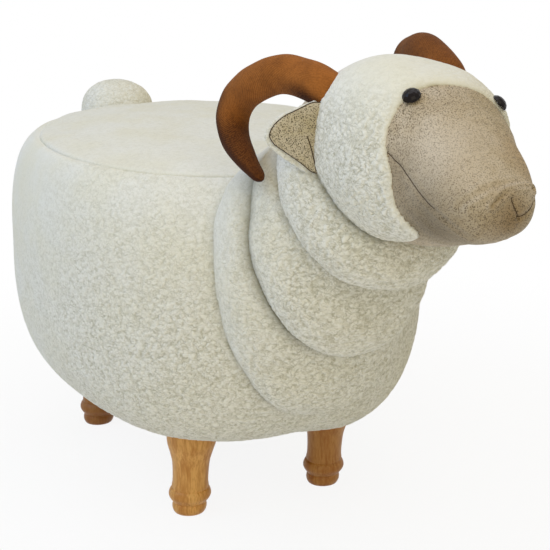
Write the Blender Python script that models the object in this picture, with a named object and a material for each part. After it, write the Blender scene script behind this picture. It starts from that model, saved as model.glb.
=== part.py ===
"""Ram footstool: a padded seat on a boarded body, with a stuffed neck and head and turned legs.

X points forward to the head, Y to the animal's left, Z up. The feet stand on Z = 0.
"""

import math

import bmesh
import bpy
from mathutils import Matrix, Vector

# Clearances
GAP = 0.0003
BODY_GAP = 0.0006
SCREW_CLEARANCE = 0.0004
OVERRUN = 0.004

# Body
BODY_LENGTH = 0.4666
BODY_WIDTH = 0.3666
PLAN_POWER = 2.37
WIDEST_LIFT = 0.00505
BELLY_HEIGHT = 0.0847
BELLY_TUCK = 0.0847
BELLY_POWER = 2.5
SEAM_HEIGHT = 0.3392
SEAM_INSET_LENGTH = 0.0412
SEAM_INSET_WIDTH = 0.0253
SEAM_PLAN_POWER = 2.09
SHOULDER_HEIGHT = 0.091
SHOULDER_POWER = 2.0
SEAT_CROWN = 0.0167
SEAT_POWER = 1.9
COVER_THICKNESS = 0.005
BELLY_RIM_LENGTH = 0.0736
BELLY_RIM_WIDTH = 0.0466
DUST_COVER_OVERLAP = 0.008
DUST_COVER_THICKNESS = 0.0012

# Frame
BASE_BOARD_LIFT = 0.0203
BASE_BOARD_INSET = 0.0483
BASE_BOARD_THICKNESS = 0.015
SEAT_BOARD_INSET = 0.0413
SEAT_BOARD_THICKNESS = 0.012
SEAT_FOAM_DEPTH = 0.036
POST_WIDTH = 0.030
POST_INSET_LENGTH = 0.1583
POST_INSET_WIDTH = 0.0883
SCREW_RADIUS = 0.002
SCREW_HEAD_RADIUS = 0.004
SCREW_HEAD_DEPTH = 0.003
SCREW_LENGTH = 0.040

# Neck board and the rail that it is bolted to
NECK_BOARD_THICKNESS = 0.015
NECK_BOARD_LENGTH = 0.275
NECK_BOARD_RISE = 0.225
NECK_BOARD_SETBACK = 0.1383
NECK_BOARD_SINK = 0.1692
NECK_BOARD_SHARES = (
    (0.00, 0.00), (0.40, 0.13), (0.66, 0.42), (0.97, 0.88),
    (0.90, 1.00), (0.58, 0.70), (0.34, 0.47), (0.00, 0.45),
)
NECK_RAIL_LENGTH = 0.056
NECK_RAIL_WIDTH = 0.030
NECK_RAIL_SETBACK = 0.1168
BOLT_RADIUS = 0.003
BOLT_HEAD_RADIUS = 0.0065
BOLT_HEAD_DEPTH = 0.003
BOLT_END = 0.003
NUT_RADIUS = 0.0058
NUT_DEPTH = 0.005
BOLT_SPACING = 0.030
BOLT_RISE = 0.055

# Legs
LEG_INSET_FRONT = 0.1283
LEG_INSET_REAR = 0.0873
LEG_INSET_WIDTH = 0.1105
LEG_FOOT_RADIUS = 0.0150
LEG_BEAD_RADIUS = 0.0202
LEG_WAIST_RADIUS = 0.0165
LEG_TOP_RADIUS = 0.0235
LEG_FOOT_HEIGHT = 0.013
LEG_BEAD_HEIGHT = 0.022
LEG_WAIST_HEIGHT = 0.044
LEG_FLARE_HEIGHT = 0.080
LEG_SEGMENTS = 18
GLIDE_RADIUS = 0.0115
GLIDE_THICKNESS = 0.002
GLIDE_PIN_RADIUS = 0.0016
GLIDE_PIN_LENGTH = 0.010
HANGER_RADIUS = 0.004
HANGER_IN_LEG = 0.030
TEE_FLANGE_RADIUS = 0.0105
TEE_FLANGE_THICKNESS = 0.0015
TEE_BARREL_RADIUS = 0.0055
TEE_BARREL_LENGTH = 0.011

# Neck rolls: how far the centre lies before the body's front and over the seam, then the sizes
ROLL_POWER = 2.3
ROLL_RING_POWER = 2.1
ROLL_LOWER_AHEAD = -0.0104
ROLL_LOWER_RISE = -0.0480
ROLL_LOWER_HALF_THICKNESS = 0.0509
ROLL_LOWER_HALF_WIDTH = 0.0948
ROLL_LOWER_REACH_DOWN = 0.1609
ROLL_LOWER_REACH_UP = 0.0887
ROLL_LOWER_PITCH = math.radians(1)
ROLL_MIDDLE_AHEAD = 0.0291
ROLL_MIDDLE_RISE = -0.0293
ROLL_MIDDLE_HALF_THICKNESS = 0.0444
ROLL_MIDDLE_HALF_WIDTH = 0.0809
ROLL_MIDDLE_REACH_DOWN = 0.1092
ROLL_MIDDLE_REACH_UP = 0.0894
ROLL_MIDDLE_PITCH = math.radians(14)
ROLL_UPPER_AHEAD = 0.0770
ROLL_UPPER_RISE = 0.0124
ROLL_UPPER_HALF_THICKNESS = 0.0412
ROLL_UPPER_HALF_WIDTH = 0.0760
ROLL_UPPER_REACH_DOWN = 0.0854
ROLL_UPPER_REACH_UP = 0.0866
ROLL_UPPER_PITCH = math.radians(38)

# Head
HEAD_AHEAD = 0.0287
HEAD_LENGTH = 0.2283
HEAD_WIDTH = 0.140
HEAD_DEPTH = 0.138
HEAD_RISE = 0.0528
HEAD_TILT = math.radians(-8.4)
HEAD_POWER = 2.2
FACE_LENGTH = 0.0612
FACE_SEAM_LEAN = math.radians(-17.6)
FACE_SEAM_TURN = math.radians(-8)
FACE_THICKNESS = 0.003
HOOD_THICKNESS = 0.005
# Along the head, half width, half depth and rise of the centre, as shares of the head's sizes
HEAD_SHARES = (
    (0.025, 0.159, 0.155, -0.006), (0.10, 0.322, 0.300, -0.006), (0.19, 0.400, 0.395, -0.010),
    (0.31, 0.450, 0.466, -0.013), (0.455, 0.465, 0.498, -0.016), (0.58, 0.452, 0.479, -0.012),
    (0.66, 0.417, 0.436, -0.030), (0.75, 0.362, 0.361, -0.061), (0.835, 0.318, 0.283, -0.097),
    (0.90, 0.288, 0.216, -0.127), (0.955, 0.231, 0.135, -0.153), (0.987, 0.143, 0.075, -0.155),
)
HEAD_TIP_SHARE = -0.155

# Eyes
EYE_RADIUS = 0.0070
EYE_HEIGHT = 0.0050
EYE_SETBACK = 0.0171
EYE_ANGLE = math.radians(51.5)
EYE_STEM_RADIUS = 0.002
EYE_STEM_LENGTH = 0.011
WASHER_RADIUS = 0.006
WASHER_THICKNESS = 0.0015

# Horns
HORN_ROOT_ALONG = 0.077
HORN_ROOT_OUT = 0.055
HORN_ROOT_UP = 0.046
HORN_BACK = 0.117
HORN_DROP = 0.081
HORN_OUT = 0.030
HORN_RADIUS = 0.0155
HORN_TIP_RADIUS = 0.0055
HORN_LEFT_LIFT = math.radians(8)
# Back, up and out along the horn, as shares of its three sizes
HORN_PATH_SHARES = (
    (-0.09, -0.41, -0.83), (0.0, 0.0, 0.0), (0.27, 0.05, 0.17), (0.49, 0.04, 0.33),
    (0.70, -0.06, 0.50), (0.90, -0.235, 0.63), (1.0, -0.44, 0.77), (0.96, -0.63, 0.87),
    (0.83, -0.765, 0.93), (0.65, -0.88, 1.0), (0.48, -0.95, 1.0),
)
HORN_TAPER_POWER = 2.2

# Ears
EAR_ROOT_ALONG = 0.063
EAR_ROOT_OUT = 0.058
EAR_ROOT_UP = 0.005
EAR_LENGTH = 0.042
EAR_HEIGHT = 0.058
EAR_SWEEP = math.radians(14)
EAR_BACK_THICKNESS = 0.008
EAR_LINING_THICKNESS = 0.0025
EAR_RIM = 0.0035
# Out along the ear and up, as shares of its length and height
EAR_SHARES = (
    (-0.30, -0.35), (0.0, -0.46), (0.36, -0.31), (0.72, -0.13), (0.93, 0.0),
    (1.0, 0.10), (0.95, 0.19), (0.78, 0.29), (0.40, 0.41), (0.0, 0.48), (-0.30, 0.38),
)

# Tail
TAIL_RADIUS = 0.0375
TAIL_BEHIND = 0.0187
TAIL_SINK = 0.0157

# Facets
BODY_SEGMENTS = 40
ROLL_SEGMENTS = 28
HEAD_SEGMENTS = 24
HORN_SEGMENTS = 12
SMALL_SEGMENTS = 12

# Finishes: colour, roughness, metallic
FINISHES = {
    "fleece": ((0.76, 0.73, 0.62), 0.95, 0.0),
    "suede": ((0.43, 0.34, 0.25), 0.80, 0.0),
    "horn_suede": ((0.30, 0.11, 0.03), 0.85, 0.0),
    "oak": ((0.50, 0.27, 0.10), 0.45, 0.0),
    "plywood": ((0.60, 0.45, 0.28), 0.70, 0.0),
    "pine": ((0.66, 0.50, 0.30), 0.70, 0.0),
    "steel": ((0.60, 0.60, 0.62), 0.35, 1.0),
    "foam": ((0.85, 0.80, 0.62), 0.95, 0.0),
    "stuffing": ((0.85, 0.85, 0.85), 0.95, 0.0),
    "black_cloth": ((0.03, 0.03, 0.03), 0.90, 0.0),
    "eye_plastic": ((0.012, 0.008, 0.006), 0.12, 0.0),
    "plastic": ((0.80, 0.80, 0.78), 0.50, 0.0),
}

# Places that follow from the sizes above
BODY_FRONT = BODY_LENGTH / 2
WIDEST_HEIGHT = (SEAM_HEIGHT + BELLY_HEIGHT) / 2 + WIDEST_LIFT
SEAM_LENGTH = BODY_LENGTH - 2 * SEAM_INSET_LENGTH
SEAM_WIDTH = BODY_WIDTH - 2 * SEAM_INSET_WIDTH
BASE_BOARD_HEIGHT = BELLY_HEIGHT + BASE_BOARD_LIFT
NECK_BOARD_START = BODY_FRONT - NECK_BOARD_SETBACK
NECK_BOARD_FOOT = SEAM_HEIGHT - NECK_BOARD_SINK
NECK_RAIL_START = BODY_FRONT - NECK_RAIL_SETBACK
BOLT_HEIGHT = NECK_BOARD_FOOT + BOLT_RISE
HEAD_BACK = BODY_FRONT + HEAD_AHEAD
HEAD_HEIGHT = SEAM_HEIGHT + HEAD_RISE
FACE_SEAM = HEAD_BACK + HEAD_LENGTH - FACE_LENGTH
EYE_STATION = FACE_SEAM - EYE_SETBACK

SIDES = {"right": -1, "left": 1}
ENDS = {"front": 1, "rear": -1}


def clear_scene():
    """Empties the scene of whatever it starts with."""
    for old in list(bpy.data.objects):
        bpy.data.objects.remove(old, do_unlink=True)


def finish(name):
    """The named material, made on first use."""
    if name in bpy.data.materials:
        return bpy.data.materials[name]
    colour, roughness, metallic = FINISHES[name]
    material = bpy.data.materials.new(name)
    material.use_nodes = True
    shader = material.node_tree.nodes["Principled BSDF"]
    shader.inputs["Base Color"].default_value = (*colour, 1.0)
    shader.inputs["Roughness"].default_value = roughness
    shader.inputs["Metallic"].default_value = metallic
    return material


def new_object(name, bm, finish_name):
    """Links a bmesh as a named, smooth shaded object under the stool's origin."""
    bmesh.ops.triangulate(bm, faces=bm.faces)
    bmesh.ops.recalc_face_normals(bm, faces=bm.faces)
    mesh = bpy.data.meshes.new(name)
    bm.to_mesh(mesh)
    bm.free()
    mesh.shade_smooth()
    mesh.set_sharp_from_angle(angle=math.radians(40))
    made = bpy.data.objects.new(name, mesh)
    bpy.context.scene.collection.objects.link(made)
    made.data.materials.append(finish(finish_name))
    made.parent = bpy.data.objects["stool_origin"]
    return made


def hide_cutter(cutter):
    """Leaves a cutter out of the model."""
    cutter.hide_render = True
    cutter.display_type = "WIRE"
    return cutter


def cut(target, cutter):
    """Takes the cutter's shape out of the target."""
    modifier = target.modifiers.new("cut_" + cutter.name, "BOOLEAN")
    modifier.operation = "DIFFERENCE"
    modifier.solver = "EXACT"
    modifier.object = cutter


def grown(source, gap):
    """A cutter with the source's shape, each face moved out by the gap."""
    bm = bmesh.new()
    bm.from_mesh(source.data)
    bm.transform(source.matrix_basis)
    bm.normal_update()
    moves = [vert.normal * vert.calc_shell_factor() * gap for vert in bm.verts]
    for vert, move in zip(bm.verts, moves):
        vert.co += move
    return hide_cutter(new_object(source.name + "_room", bm, "plastic"))


def join_rings(bm, rings, closed=False):
    """Faces between successive rings of equally many points."""
    pairs = list(zip(rings, rings[1:]))
    if closed:
        pairs.append((rings[-1], rings[0]))
    for lower, upper in pairs:
        for index in range(len(lower)):
            after = (index + 1) % len(lower)
            bm.faces.new((lower[index], lower[after], upper[after], upper[index]))


def fan(bm, ring, point):
    """Closes a ring to one point."""
    tip = bm.verts.new(point)
    for index in range(len(ring)):
        bm.faces.new((ring[index], ring[(index + 1) % len(ring)], tip))


def loft(rings, start=None, end=None, closed=False):
    """A bmesh through rings of points, closed at its ends by a point or a flat face."""
    bm = bmesh.new()
    verts = [[bm.verts.new(point) for point in ring] for ring in rings]
    join_rings(bm, verts, closed)
    if not closed:
        for ring, tip in ((verts[0], start), (verts[-1], end)):
            if tip is None:
                bm.faces.new(ring)
            else:
                fan(bm, ring, tip)
    return bm


def turned(profile, segments, closed=False):
    """A bmesh turned about Z from (radius, height) pairs."""
    rings = []
    for radius, height in profile:
        angles = [2 * math.pi * step / segments for step in range(segments)]
        rings.append([(radius * math.cos(a), radius * math.sin(a), height) for a in angles])
    return loft(rings, closed=closed)


def oval(half_length, half_width, power, height, segments):
    """A level superellipse ring."""
    ring = []
    for step in range(segments):
        angle = 2 * math.pi * step / segments
        c, s = math.cos(angle), math.sin(angle)
        x = half_length * math.copysign(abs(c) ** (2 / power), c)
        y = half_width * math.copysign(abs(s) ** (2 / power), s)
        ring.append((x, y, height))
    return ring


def body_ring(inset, share, height):
    """A ring between the body's plan (share 0) and the seam's (share 1), drawn in by the inset."""
    half_length = (BODY_LENGTH + (SEAM_LENGTH - BODY_LENGTH) * share) / 2 - inset
    half_width = (BODY_WIDTH + (SEAM_WIDTH - BODY_WIDTH) * share) / 2 - inset
    power = PLAN_POWER + (SEAM_PLAN_POWER - PLAN_POWER) * share
    return oval(half_length, half_width, power, height, BODY_SEGMENTS)


def quarter(steps, power):
    """Pairs that run from (0, 0) to (1, 1) round a quarter superellipse, leaving upright."""
    pairs = []
    for step in range(steps + 1):
        angle = math.pi / 2 * step / steps
        inward = 1 - math.cos(angle) ** (2 / power)
        along = math.sin(angle) ** (2 / power)
        pairs.append((inward, along))
    return pairs


def side_rows(offset, steps):
    """(inset, share, height) of the body's side from the belly up to the seam, moved in by the offset."""
    belly_drop = WIDEST_HEIGHT - BELLY_HEIGHT - offset
    rows = []
    for inward, along in reversed(quarter(steps, BELLY_POWER)):
        rows.append((offset + BELLY_TUCK * inward, 0, WIDEST_HEIGHT - belly_drop * along))
    shoulder_start = SEAM_HEIGHT - SHOULDER_HEIGHT
    for inward, along in quarter(steps // 2, SHOULDER_POWER):
        rows.append((offset, inward, shoulder_start + SHOULDER_HEIGHT * along))
    return rows


def row_at(rows, height):
    """The side's row at a height, between the rows either side of it."""
    below = [row for row in rows if row[2] <= height][-1]
    above = [row for row in rows if row[2] > height][0]
    mix = (height - below[2]) / (above[2] - below[2])
    return tuple(low + (high - low) * mix for low, high in zip(below, above))


def opening_half_sizes():
    """Half length and half width of the belly's opening."""
    return BODY_LENGTH / 2 - BELLY_TUCK - BELLY_RIM_LENGTH, BODY_WIDTH / 2 - BELLY_TUCK - BELLY_RIM_WIDTH


def opening_ring(height):
    """The belly's opening."""
    return oval(*opening_half_sizes(), PLAN_POWER, height, BODY_SEGMENTS)


def make_body_cover():
    """The fleece side cover: open at the seat and under the belly."""
    outside = [body_ring(*row) for row in side_rows(0, 8)]
    inside = [body_ring(*row) for row in side_rows(COVER_THICKNESS, 6)]
    lower = [opening_ring(BELLY_HEIGHT)]
    upper = [opening_ring(BELLY_HEIGHT + COVER_THICKNESS)]
    rings = lower + outside + inside[::-1] + upper
    return new_object("body_cover", loft(rings, closed=True), "fleece")


def seat_cap(plan_offset, low, crown, steps):
    """Rings of the crowned seat top from its edge inwards, without the middle point."""
    rings = []
    for inward, along in quarter(steps, SEAT_POWER)[:-1]:
        half_length = (SEAM_LENGTH / 2 - plan_offset) * (1 - inward)
        half_width = (SEAM_WIDTH / 2 - plan_offset) * (1 - inward)
        height = low + crown * along
        rings.append(oval(half_length, half_width, SEAM_PLAN_POWER, height, BODY_SEGMENTS))
    return rings


def make_seat_cover():
    """The fleece top panel, a crowned skin over the seat foam."""
    low = SEAM_HEIGHT + GAP
    outside = seat_cap(0, low, SEAT_CROWN, 6)
    inside = seat_cap(COVER_THICKNESS, low, SEAT_CROWN - COVER_THICKNESS, 5)
    rings = outside[::-1] + inside
    top = (0, 0, low + SEAT_CROWN)
    under = (0, 0, low + SEAT_CROWN - COVER_THICKNESS)
    return new_object("seat_cover", loft(rings, start=top, end=under), "fleece")


def seat_board_top():
    """Height of the seat board's upper face."""
    return SEAM_HEIGHT - SEAT_FOAM_DEPTH


def make_seat_foam():
    """Crowned foam on the seat board."""
    low = SEAM_HEIGHT + GAP
    inset = COVER_THICKNESS + GAP
    crown = SEAT_CROWN - COVER_THICKNESS - GAP
    rows = side_rows(inset, 6)
    floor = seat_board_top() + GAP
    sides = [row_at(rows, floor)] + [row for row in rows if row[2] > floor]
    rings = [body_ring(*row) for row in sides] + seat_cap(inset, low, crown, 5)
    bm = loft(rings, end=(0, 0, low + crown))
    return new_object("seat_foam", bm, "foam")


def make_side_foam():
    """Foam round the frame and under the base board, with the opening of the belly."""
    offset = COVER_THICKNESS + GAP
    top = seat_board_top()
    rows = side_rows(offset, 6)
    outside = [row for row in rows if row[2] < top] + [row_at(rows, top)]
    rings = [opening_ring(BELLY_HEIGHT + offset)] + [body_ring(*row) for row in outside]
    for height in (top, BASE_BOARD_HEIGHT + BASE_BOARD_THICKNESS):
        rings.append(body_ring(SEAT_BOARD_INSET - GAP, 0, height))
    for height in (BASE_BOARD_HEIGHT + BASE_BOARD_THICKNESS, BASE_BOARD_HEIGHT - GAP):
        rings.append(body_ring(BASE_BOARD_INSET - GAP, 0, height))
    rings.append(opening_ring(BASE_BOARD_HEIGHT - GAP))
    return new_object("side_foam", loft(rings, closed=True), "foam")


def make_board(name, inset, low, thickness):
    """A flat board with the body's plan, drawn in by the inset."""
    rings = [body_ring(inset, 0, height) for height in (low, low + thickness)]
    return new_object(name, loft(rings), "plywood")


def make_boards():
    """The two plywood boards and the cloth under the belly."""
    base = make_board("base_board", BASE_BOARD_INSET, BASE_BOARD_HEIGHT, BASE_BOARD_THICKNESS)
    seat_low = seat_board_top() - SEAT_BOARD_THICKNESS
    seat = make_board("seat_board", SEAT_BOARD_INSET, seat_low, SEAT_BOARD_THICKNESS)
    half_length, half_width = [half + DUST_COVER_OVERLAP for half in opening_half_sizes()]
    high = BELLY_HEIGHT - GAP
    rings = []
    for height in (high - DUST_COVER_THICKNESS, high):
        rings.append(oval(half_length, half_width, PLAN_POWER, height, BODY_SEGMENTS))
    new_object("dust_cover", loft(rings), "black_cloth")
    return base, seat


def block(low, high):
    """A bmesh box between two corners."""
    bm = bmesh.new()
    bmesh.ops.create_cube(bm, size=1.0)
    size = Vector(high) - Vector(low)
    middle = (Vector(high) + Vector(low)) / 2
    bm.transform(Matrix.Translation(middle) @ Matrix.Diagonal((*size, 1.0)))
    return bm


def make_cylinder_cutter(name, radius, low, high, place, segments=SMALL_SEGMENTS):
    """A hidden drill: a cylinder between two heights at a place."""
    bm = turned(((radius, low), (radius, high)), segments)
    bm.transform(Matrix.Translation((place[0], place[1], 0)))
    return hide_cutter(new_object(name, bm, "plastic"))


def make_screw(name, place, top, downward):
    """A countersunk wood screw, its head's face level with the board's at the given height."""
    profile = (
        (SCREW_HEAD_RADIUS, 0),
        (SCREW_RADIUS, -SCREW_HEAD_DEPTH),
        (SCREW_RADIUS, -(SCREW_LENGTH - SCREW_HEAD_DEPTH)),
        (SCREW_RADIUS / 4, -SCREW_LENGTH),
    )
    bm = turned(profile, SMALL_SEGMENTS)
    if not downward:
        bm.transform(Matrix.Rotation(math.pi, 4, "X"))
    bm.transform(Matrix.Translation((place[0], place[1], top)))
    return new_object(name, bm, "steel")


def make_posts(base, seat):
    """Four posts between the boards, each held by a screw at its top and one at its foot."""
    low = BASE_BOARD_HEIGHT + BASE_BOARD_THICKNESS + GAP
    high = seat_board_top() - SEAT_BOARD_THICKNESS - GAP
    half = POST_WIDTH / 2
    for end, way in ENDS.items():
        for side, hand in SIDES.items():
            place = (way * (BODY_FRONT - POST_INSET_LENGTH), hand * (BODY_WIDTH / 2 - POST_INSET_WIDTH))
            corner = (place[0] - half, place[1] - half, low)
            far = (place[0] + half, place[1] + half, high)
            post = new_object(f"frame_post_{end}_{side}", block(corner, far), "pine")
            upper = make_screw(f"seat_screw_{end}_{side}", place, seat_board_top(), True)
            lower = make_screw(f"base_screw_{end}_{side}", place, BASE_BOARD_HEIGHT, False)
            for screw, board in ((upper, seat), (lower, base)):
                room = grown(screw, SCREW_CLEARANCE)
                cut(board, room)
                cut(post, room)


def neck_board_points():
    """The neck board's outline in X and Z."""
    points = []
    for along, up in NECK_BOARD_SHARES:
        points.append((NECK_BOARD_START + NECK_BOARD_LENGTH * along, NECK_BOARD_FOOT + NECK_BOARD_RISE * up))
    return points


def make_neck_board():
    """The plywood upright that carries the neck and the head."""
    half = NECK_BOARD_THICKNESS / 2
    rings = [[(x, y, z) for x, z in neck_board_points()] for y in (-half, half)]
    return new_object("neck_board", loft(rings), "plywood")


def make_neck_rail():
    """The rail beside the neck board, standing between the base board and the seat board."""
    near = NECK_BOARD_THICKNESS / 2 + GAP
    low = (NECK_RAIL_START, near, BASE_BOARD_HEIGHT + BASE_BOARD_THICKNESS + GAP)
    high = (NECK_RAIL_START + NECK_RAIL_LENGTH, near + NECK_RAIL_WIDTH,
            seat_board_top() - SEAT_BOARD_THICKNESS - GAP)
    return new_object("neck_rail", block(low, high), "pine")


def lay_across(bm, x, height):
    """Turns a piece made along Z to run along Y, at a place."""
    bm.transform(Matrix.Rotation(-math.pi / 2, 4, "X"))
    bm.transform(Matrix.Translation((x, 0, height)))


def make_neck_bolts(board, rail):
    """Two bolts through the neck board and its rail, each with its nut."""
    head_face = -NECK_BOARD_THICKNESS / 2 - GAP
    nut_face = NECK_BOARD_THICKNESS / 2 + 2 * GAP + NECK_RAIL_WIDTH
    middle = NECK_RAIL_START + NECK_RAIL_LENGTH / 2
    for end, way in ENDS.items():
        x = middle + way * BOLT_SPACING / 2
        profile = (
            (BOLT_HEAD_RADIUS, head_face - BOLT_HEAD_DEPTH),
            (BOLT_HEAD_RADIUS, head_face),
            (BOLT_RADIUS, head_face),
            (BOLT_RADIUS, nut_face + NUT_DEPTH + BOLT_END),
        )
        bm = turned(profile, SMALL_SEGMENTS)
        lay_across(bm, x, BOLT_HEIGHT)
        bolt = new_object(f"neck_bolt_{end}", bm, "steel")
        ring = (
            (BOLT_RADIUS + GAP, nut_face), (NUT_RADIUS, nut_face),
            (NUT_RADIUS, nut_face + NUT_DEPTH), (BOLT_RADIUS + GAP, nut_face + NUT_DEPTH),
        )
        bm = turned(ring, SMALL_SEGMENTS // 2 * 2, closed=True)
        lay_across(bm, x, BOLT_HEIGHT)
        new_object(f"neck_nut_{end}", bm, "steel")
        drill = turned(((BOLT_RADIUS + GAP, head_face - OVERRUN), (BOLT_RADIUS + GAP, nut_face + OVERRUN)),
                       SMALL_SEGMENTS)
        lay_across(drill, x, BOLT_HEIGHT)
        room = hide_cutter(new_object(bolt.name + "_room", drill, "plastic"))
        cut(board, room)
        cut(rail, room)


def leg_places():
    """(name, place) of each leg."""
    along = {"front": BODY_FRONT - LEG_INSET_FRONT, "rear": LEG_INSET_REAR - BODY_FRONT}
    for end, x in along.items():
        for side, hand in SIDES.items():
            yield f"{end}_{side}", (x, hand * (BODY_WIDTH / 2 - LEG_INSET_WIDTH))


def leg_top():
    """Height of a leg's upper face."""
    return BASE_BOARD_HEIGHT - GAP


def leg_profile():
    """(radius, height) up the outside of a leg."""
    foot = GLIDE_THICKNESS + GAP
    bead_low = LEG_FOOT_HEIGHT
    bead_high = 2 * LEG_BEAD_HEIGHT - LEG_FOOT_HEIGHT
    neck = (LEG_BEAD_RADIUS + LEG_WAIST_RADIUS) / 2
    shoulder = (LEG_WAIST_RADIUS + LEG_TOP_RADIUS) / 2
    return [
        (LEG_FOOT_RADIUS - GAP, foot),
        (LEG_FOOT_RADIUS, foot + GLIDE_THICKNESS / 2),
        ((LEG_FOOT_RADIUS + LEG_WAIST_RADIUS) / 2, bead_low),
        ((LEG_BEAD_RADIUS + neck) / 2, (bead_low + LEG_BEAD_HEIGHT) / 2),
        (LEG_BEAD_RADIUS, LEG_BEAD_HEIGHT),
        ((LEG_BEAD_RADIUS + neck) / 2, (bead_high + LEG_BEAD_HEIGHT) / 2),
        ((neck + LEG_WAIST_RADIUS) / 2, bead_high),
        (LEG_WAIST_RADIUS, LEG_WAIST_HEIGHT),
        ((shoulder + LEG_WAIST_RADIUS) / 2, (LEG_WAIST_HEIGHT + LEG_FLARE_HEIGHT) / 2),
        (shoulder, (LEG_WAIST_HEIGHT + 3 * LEG_FLARE_HEIGHT) / 4),
        (LEG_TOP_RADIUS, LEG_FLARE_HEIGHT),
        (LEG_TOP_RADIUS, leg_top()),
    ]


def make_legs(base, cover, foam):
    """Turned legs, each with its hanger bolt, tee nut and glide."""
    for name, place in leg_places():
        where = Matrix.Translation((place[0], place[1], 0))
        hole = HANGER_RADIUS + GAP
        bore_floor = leg_top() - HANGER_IN_LEG - GAP
        pin = GLIDE_PIN_RADIUS + GAP
        pin_roof = GLIDE_THICKNESS + GLIDE_PIN_LENGTH + GAP
        outline = leg_profile() + [(hole, leg_top()), (hole, bore_floor)]
        foot = [(pin, pin_roof), (pin, GLIDE_THICKNESS + GAP)]
        bm = bmesh.new()
        rings = []
        for radius, height in foot + outline:
            ring = oval(radius, radius, 2, height, LEG_SEGMENTS)
            rings.append([bm.verts.new(point) for point in ring])
        join_rings(bm, rings)
        bm.faces.new(rings[0])
        bm.faces.new(rings[-1])
        bm.transform(where)
        new_object(f"leg_{name}", bm, "oak")

        for target in (cover, foam):
            cut(target, make_cylinder_cutter(f"leg_hole_{name}_{target.name}", LEG_TOP_RADIUS + GAP,
                                             BELLY_HEIGHT - OVERRUN - BELLY_TUCK / 2,
                                             BASE_BOARD_HEIGHT - GAP / 2, place, LEG_SEGMENTS))

        glide = (
            (GLIDE_RADIUS, 0), (GLIDE_RADIUS, GLIDE_THICKNESS),
            (GLIDE_PIN_RADIUS, GLIDE_THICKNESS), (GLIDE_PIN_RADIUS, GLIDE_THICKNESS + GLIDE_PIN_LENGTH),
        )
        bm = turned(glide, SMALL_SEGMENTS)
        bm.transform(where)
        new_object(f"foot_glide_{name}", bm, "plastic")

        bolt_top = BASE_BOARD_HEIGHT + BASE_BOARD_THICKNESS
        bm = turned(((HANGER_RADIUS, leg_top() - HANGER_IN_LEG), (HANGER_RADIUS, bolt_top)), SMALL_SEGMENTS)
        bm.transform(where)
        new_object(f"hanger_bolt_{name}", bm, "steel")

        flange_low = bolt_top + GAP
        nut = (
            (hole, flange_low + TEE_FLANGE_THICKNESS), (hole, bolt_top - TEE_BARREL_LENGTH),
            (TEE_BARREL_RADIUS, bolt_top - TEE_BARREL_LENGTH), (TEE_BARREL_RADIUS, flange_low),
            (TEE_FLANGE_RADIUS, flange_low), (TEE_FLANGE_RADIUS, flange_low + TEE_FLANGE_THICKNESS),
        )
        bm = turned(nut, SMALL_SEGMENTS, closed=True)
        bm.transform(where)
        new_object(f"tee_nut_{name}", bm, "steel")
        cut(base, make_cylinder_cutter(f"nut_hole_{name}", TEE_BARREL_RADIUS + GAP,
                                       BASE_BOARD_HEIGHT - OVERRUN, bolt_top + OVERRUN, place))


def make_roll(name, ahead, rise, thick, wide, down, up, pitch):
    """One stuffed roll of the neck, a fat ring section that swells and tapers."""
    rings = []
    steps = 9
    for step in range(1, steps):
        angle = math.pi * step / steps
        along = -math.cos(angle)
        share = (1 - abs(along) ** ROLL_POWER) ** (1 / ROLL_POWER)
        ring = oval(share, wide * share, ROLL_RING_POWER, 0, ROLL_SEGMENTS)
        reach = [x * (up if x > 0 else down) for x, _, _ in ring]
        rings.append([(thick * along, point[1], z) for point, z in zip(ring, reach)])
    bm = loft(rings, start=(-thick, 0, 0), end=(thick, 0, 0))
    bm.transform(Matrix.Rotation(-pitch, 4, "Y"))
    bm.transform(Matrix.Translation((BODY_FRONT + ahead, 0, SEAM_HEIGHT + rise)))
    return new_object(name, bm, "fleece")


def make_neck():
    """The three rolls, from the body up to the head."""
    lower = make_roll("neck_roll_lower", ROLL_LOWER_AHEAD, ROLL_LOWER_RISE, ROLL_LOWER_HALF_THICKNESS,
                      ROLL_LOWER_HALF_WIDTH, ROLL_LOWER_REACH_DOWN, ROLL_LOWER_REACH_UP, ROLL_LOWER_PITCH)
    middle = make_roll("neck_roll_middle", ROLL_MIDDLE_AHEAD, ROLL_MIDDLE_RISE, ROLL_MIDDLE_HALF_THICKNESS,
                       ROLL_MIDDLE_HALF_WIDTH, ROLL_MIDDLE_REACH_DOWN, ROLL_MIDDLE_REACH_UP,
                       ROLL_MIDDLE_PITCH)
    upper = make_roll("neck_roll_upper", ROLL_UPPER_AHEAD, ROLL_UPPER_RISE, ROLL_UPPER_HALF_THICKNESS,
                      ROLL_UPPER_HALF_WIDTH, ROLL_UPPER_REACH_DOWN, ROLL_UPPER_REACH_UP, ROLL_UPPER_PITCH)
    return lower, middle, upper


def head_rings(inset):
    """Rings of the head's form, drawn in by the inset, with its two end points."""
    rings = []
    for along, wide, deep, rise in HEAD_SHARES:
        half_width = max(HEAD_WIDTH * wide - inset, GAP)
        half_depth = max(HEAD_DEPTH * deep - inset, GAP)
        x = HEAD_BACK + inset + (HEAD_LENGTH - 2 * inset) * along
        ring = oval(half_depth, half_width, HEAD_POWER, 0, HEAD_SEGMENTS)
        rings.append([(x, y, HEAD_DEPTH * rise + z) for z, y, _ in ring])
    start = (HEAD_BACK + inset, 0, HEAD_DEPTH * HEAD_SHARES[0][3])
    end = (HEAD_BACK + HEAD_LENGTH - inset, 0, HEAD_DEPTH * HEAD_TIP_SHARE)
    return rings, start, end


def head_place():
    """The head's axis on the stool: raised and tilted about X."""
    return Matrix.Translation((0, 0, HEAD_HEIGHT)) @ Matrix.Rotation(HEAD_TILT, 4, "X")


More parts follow.
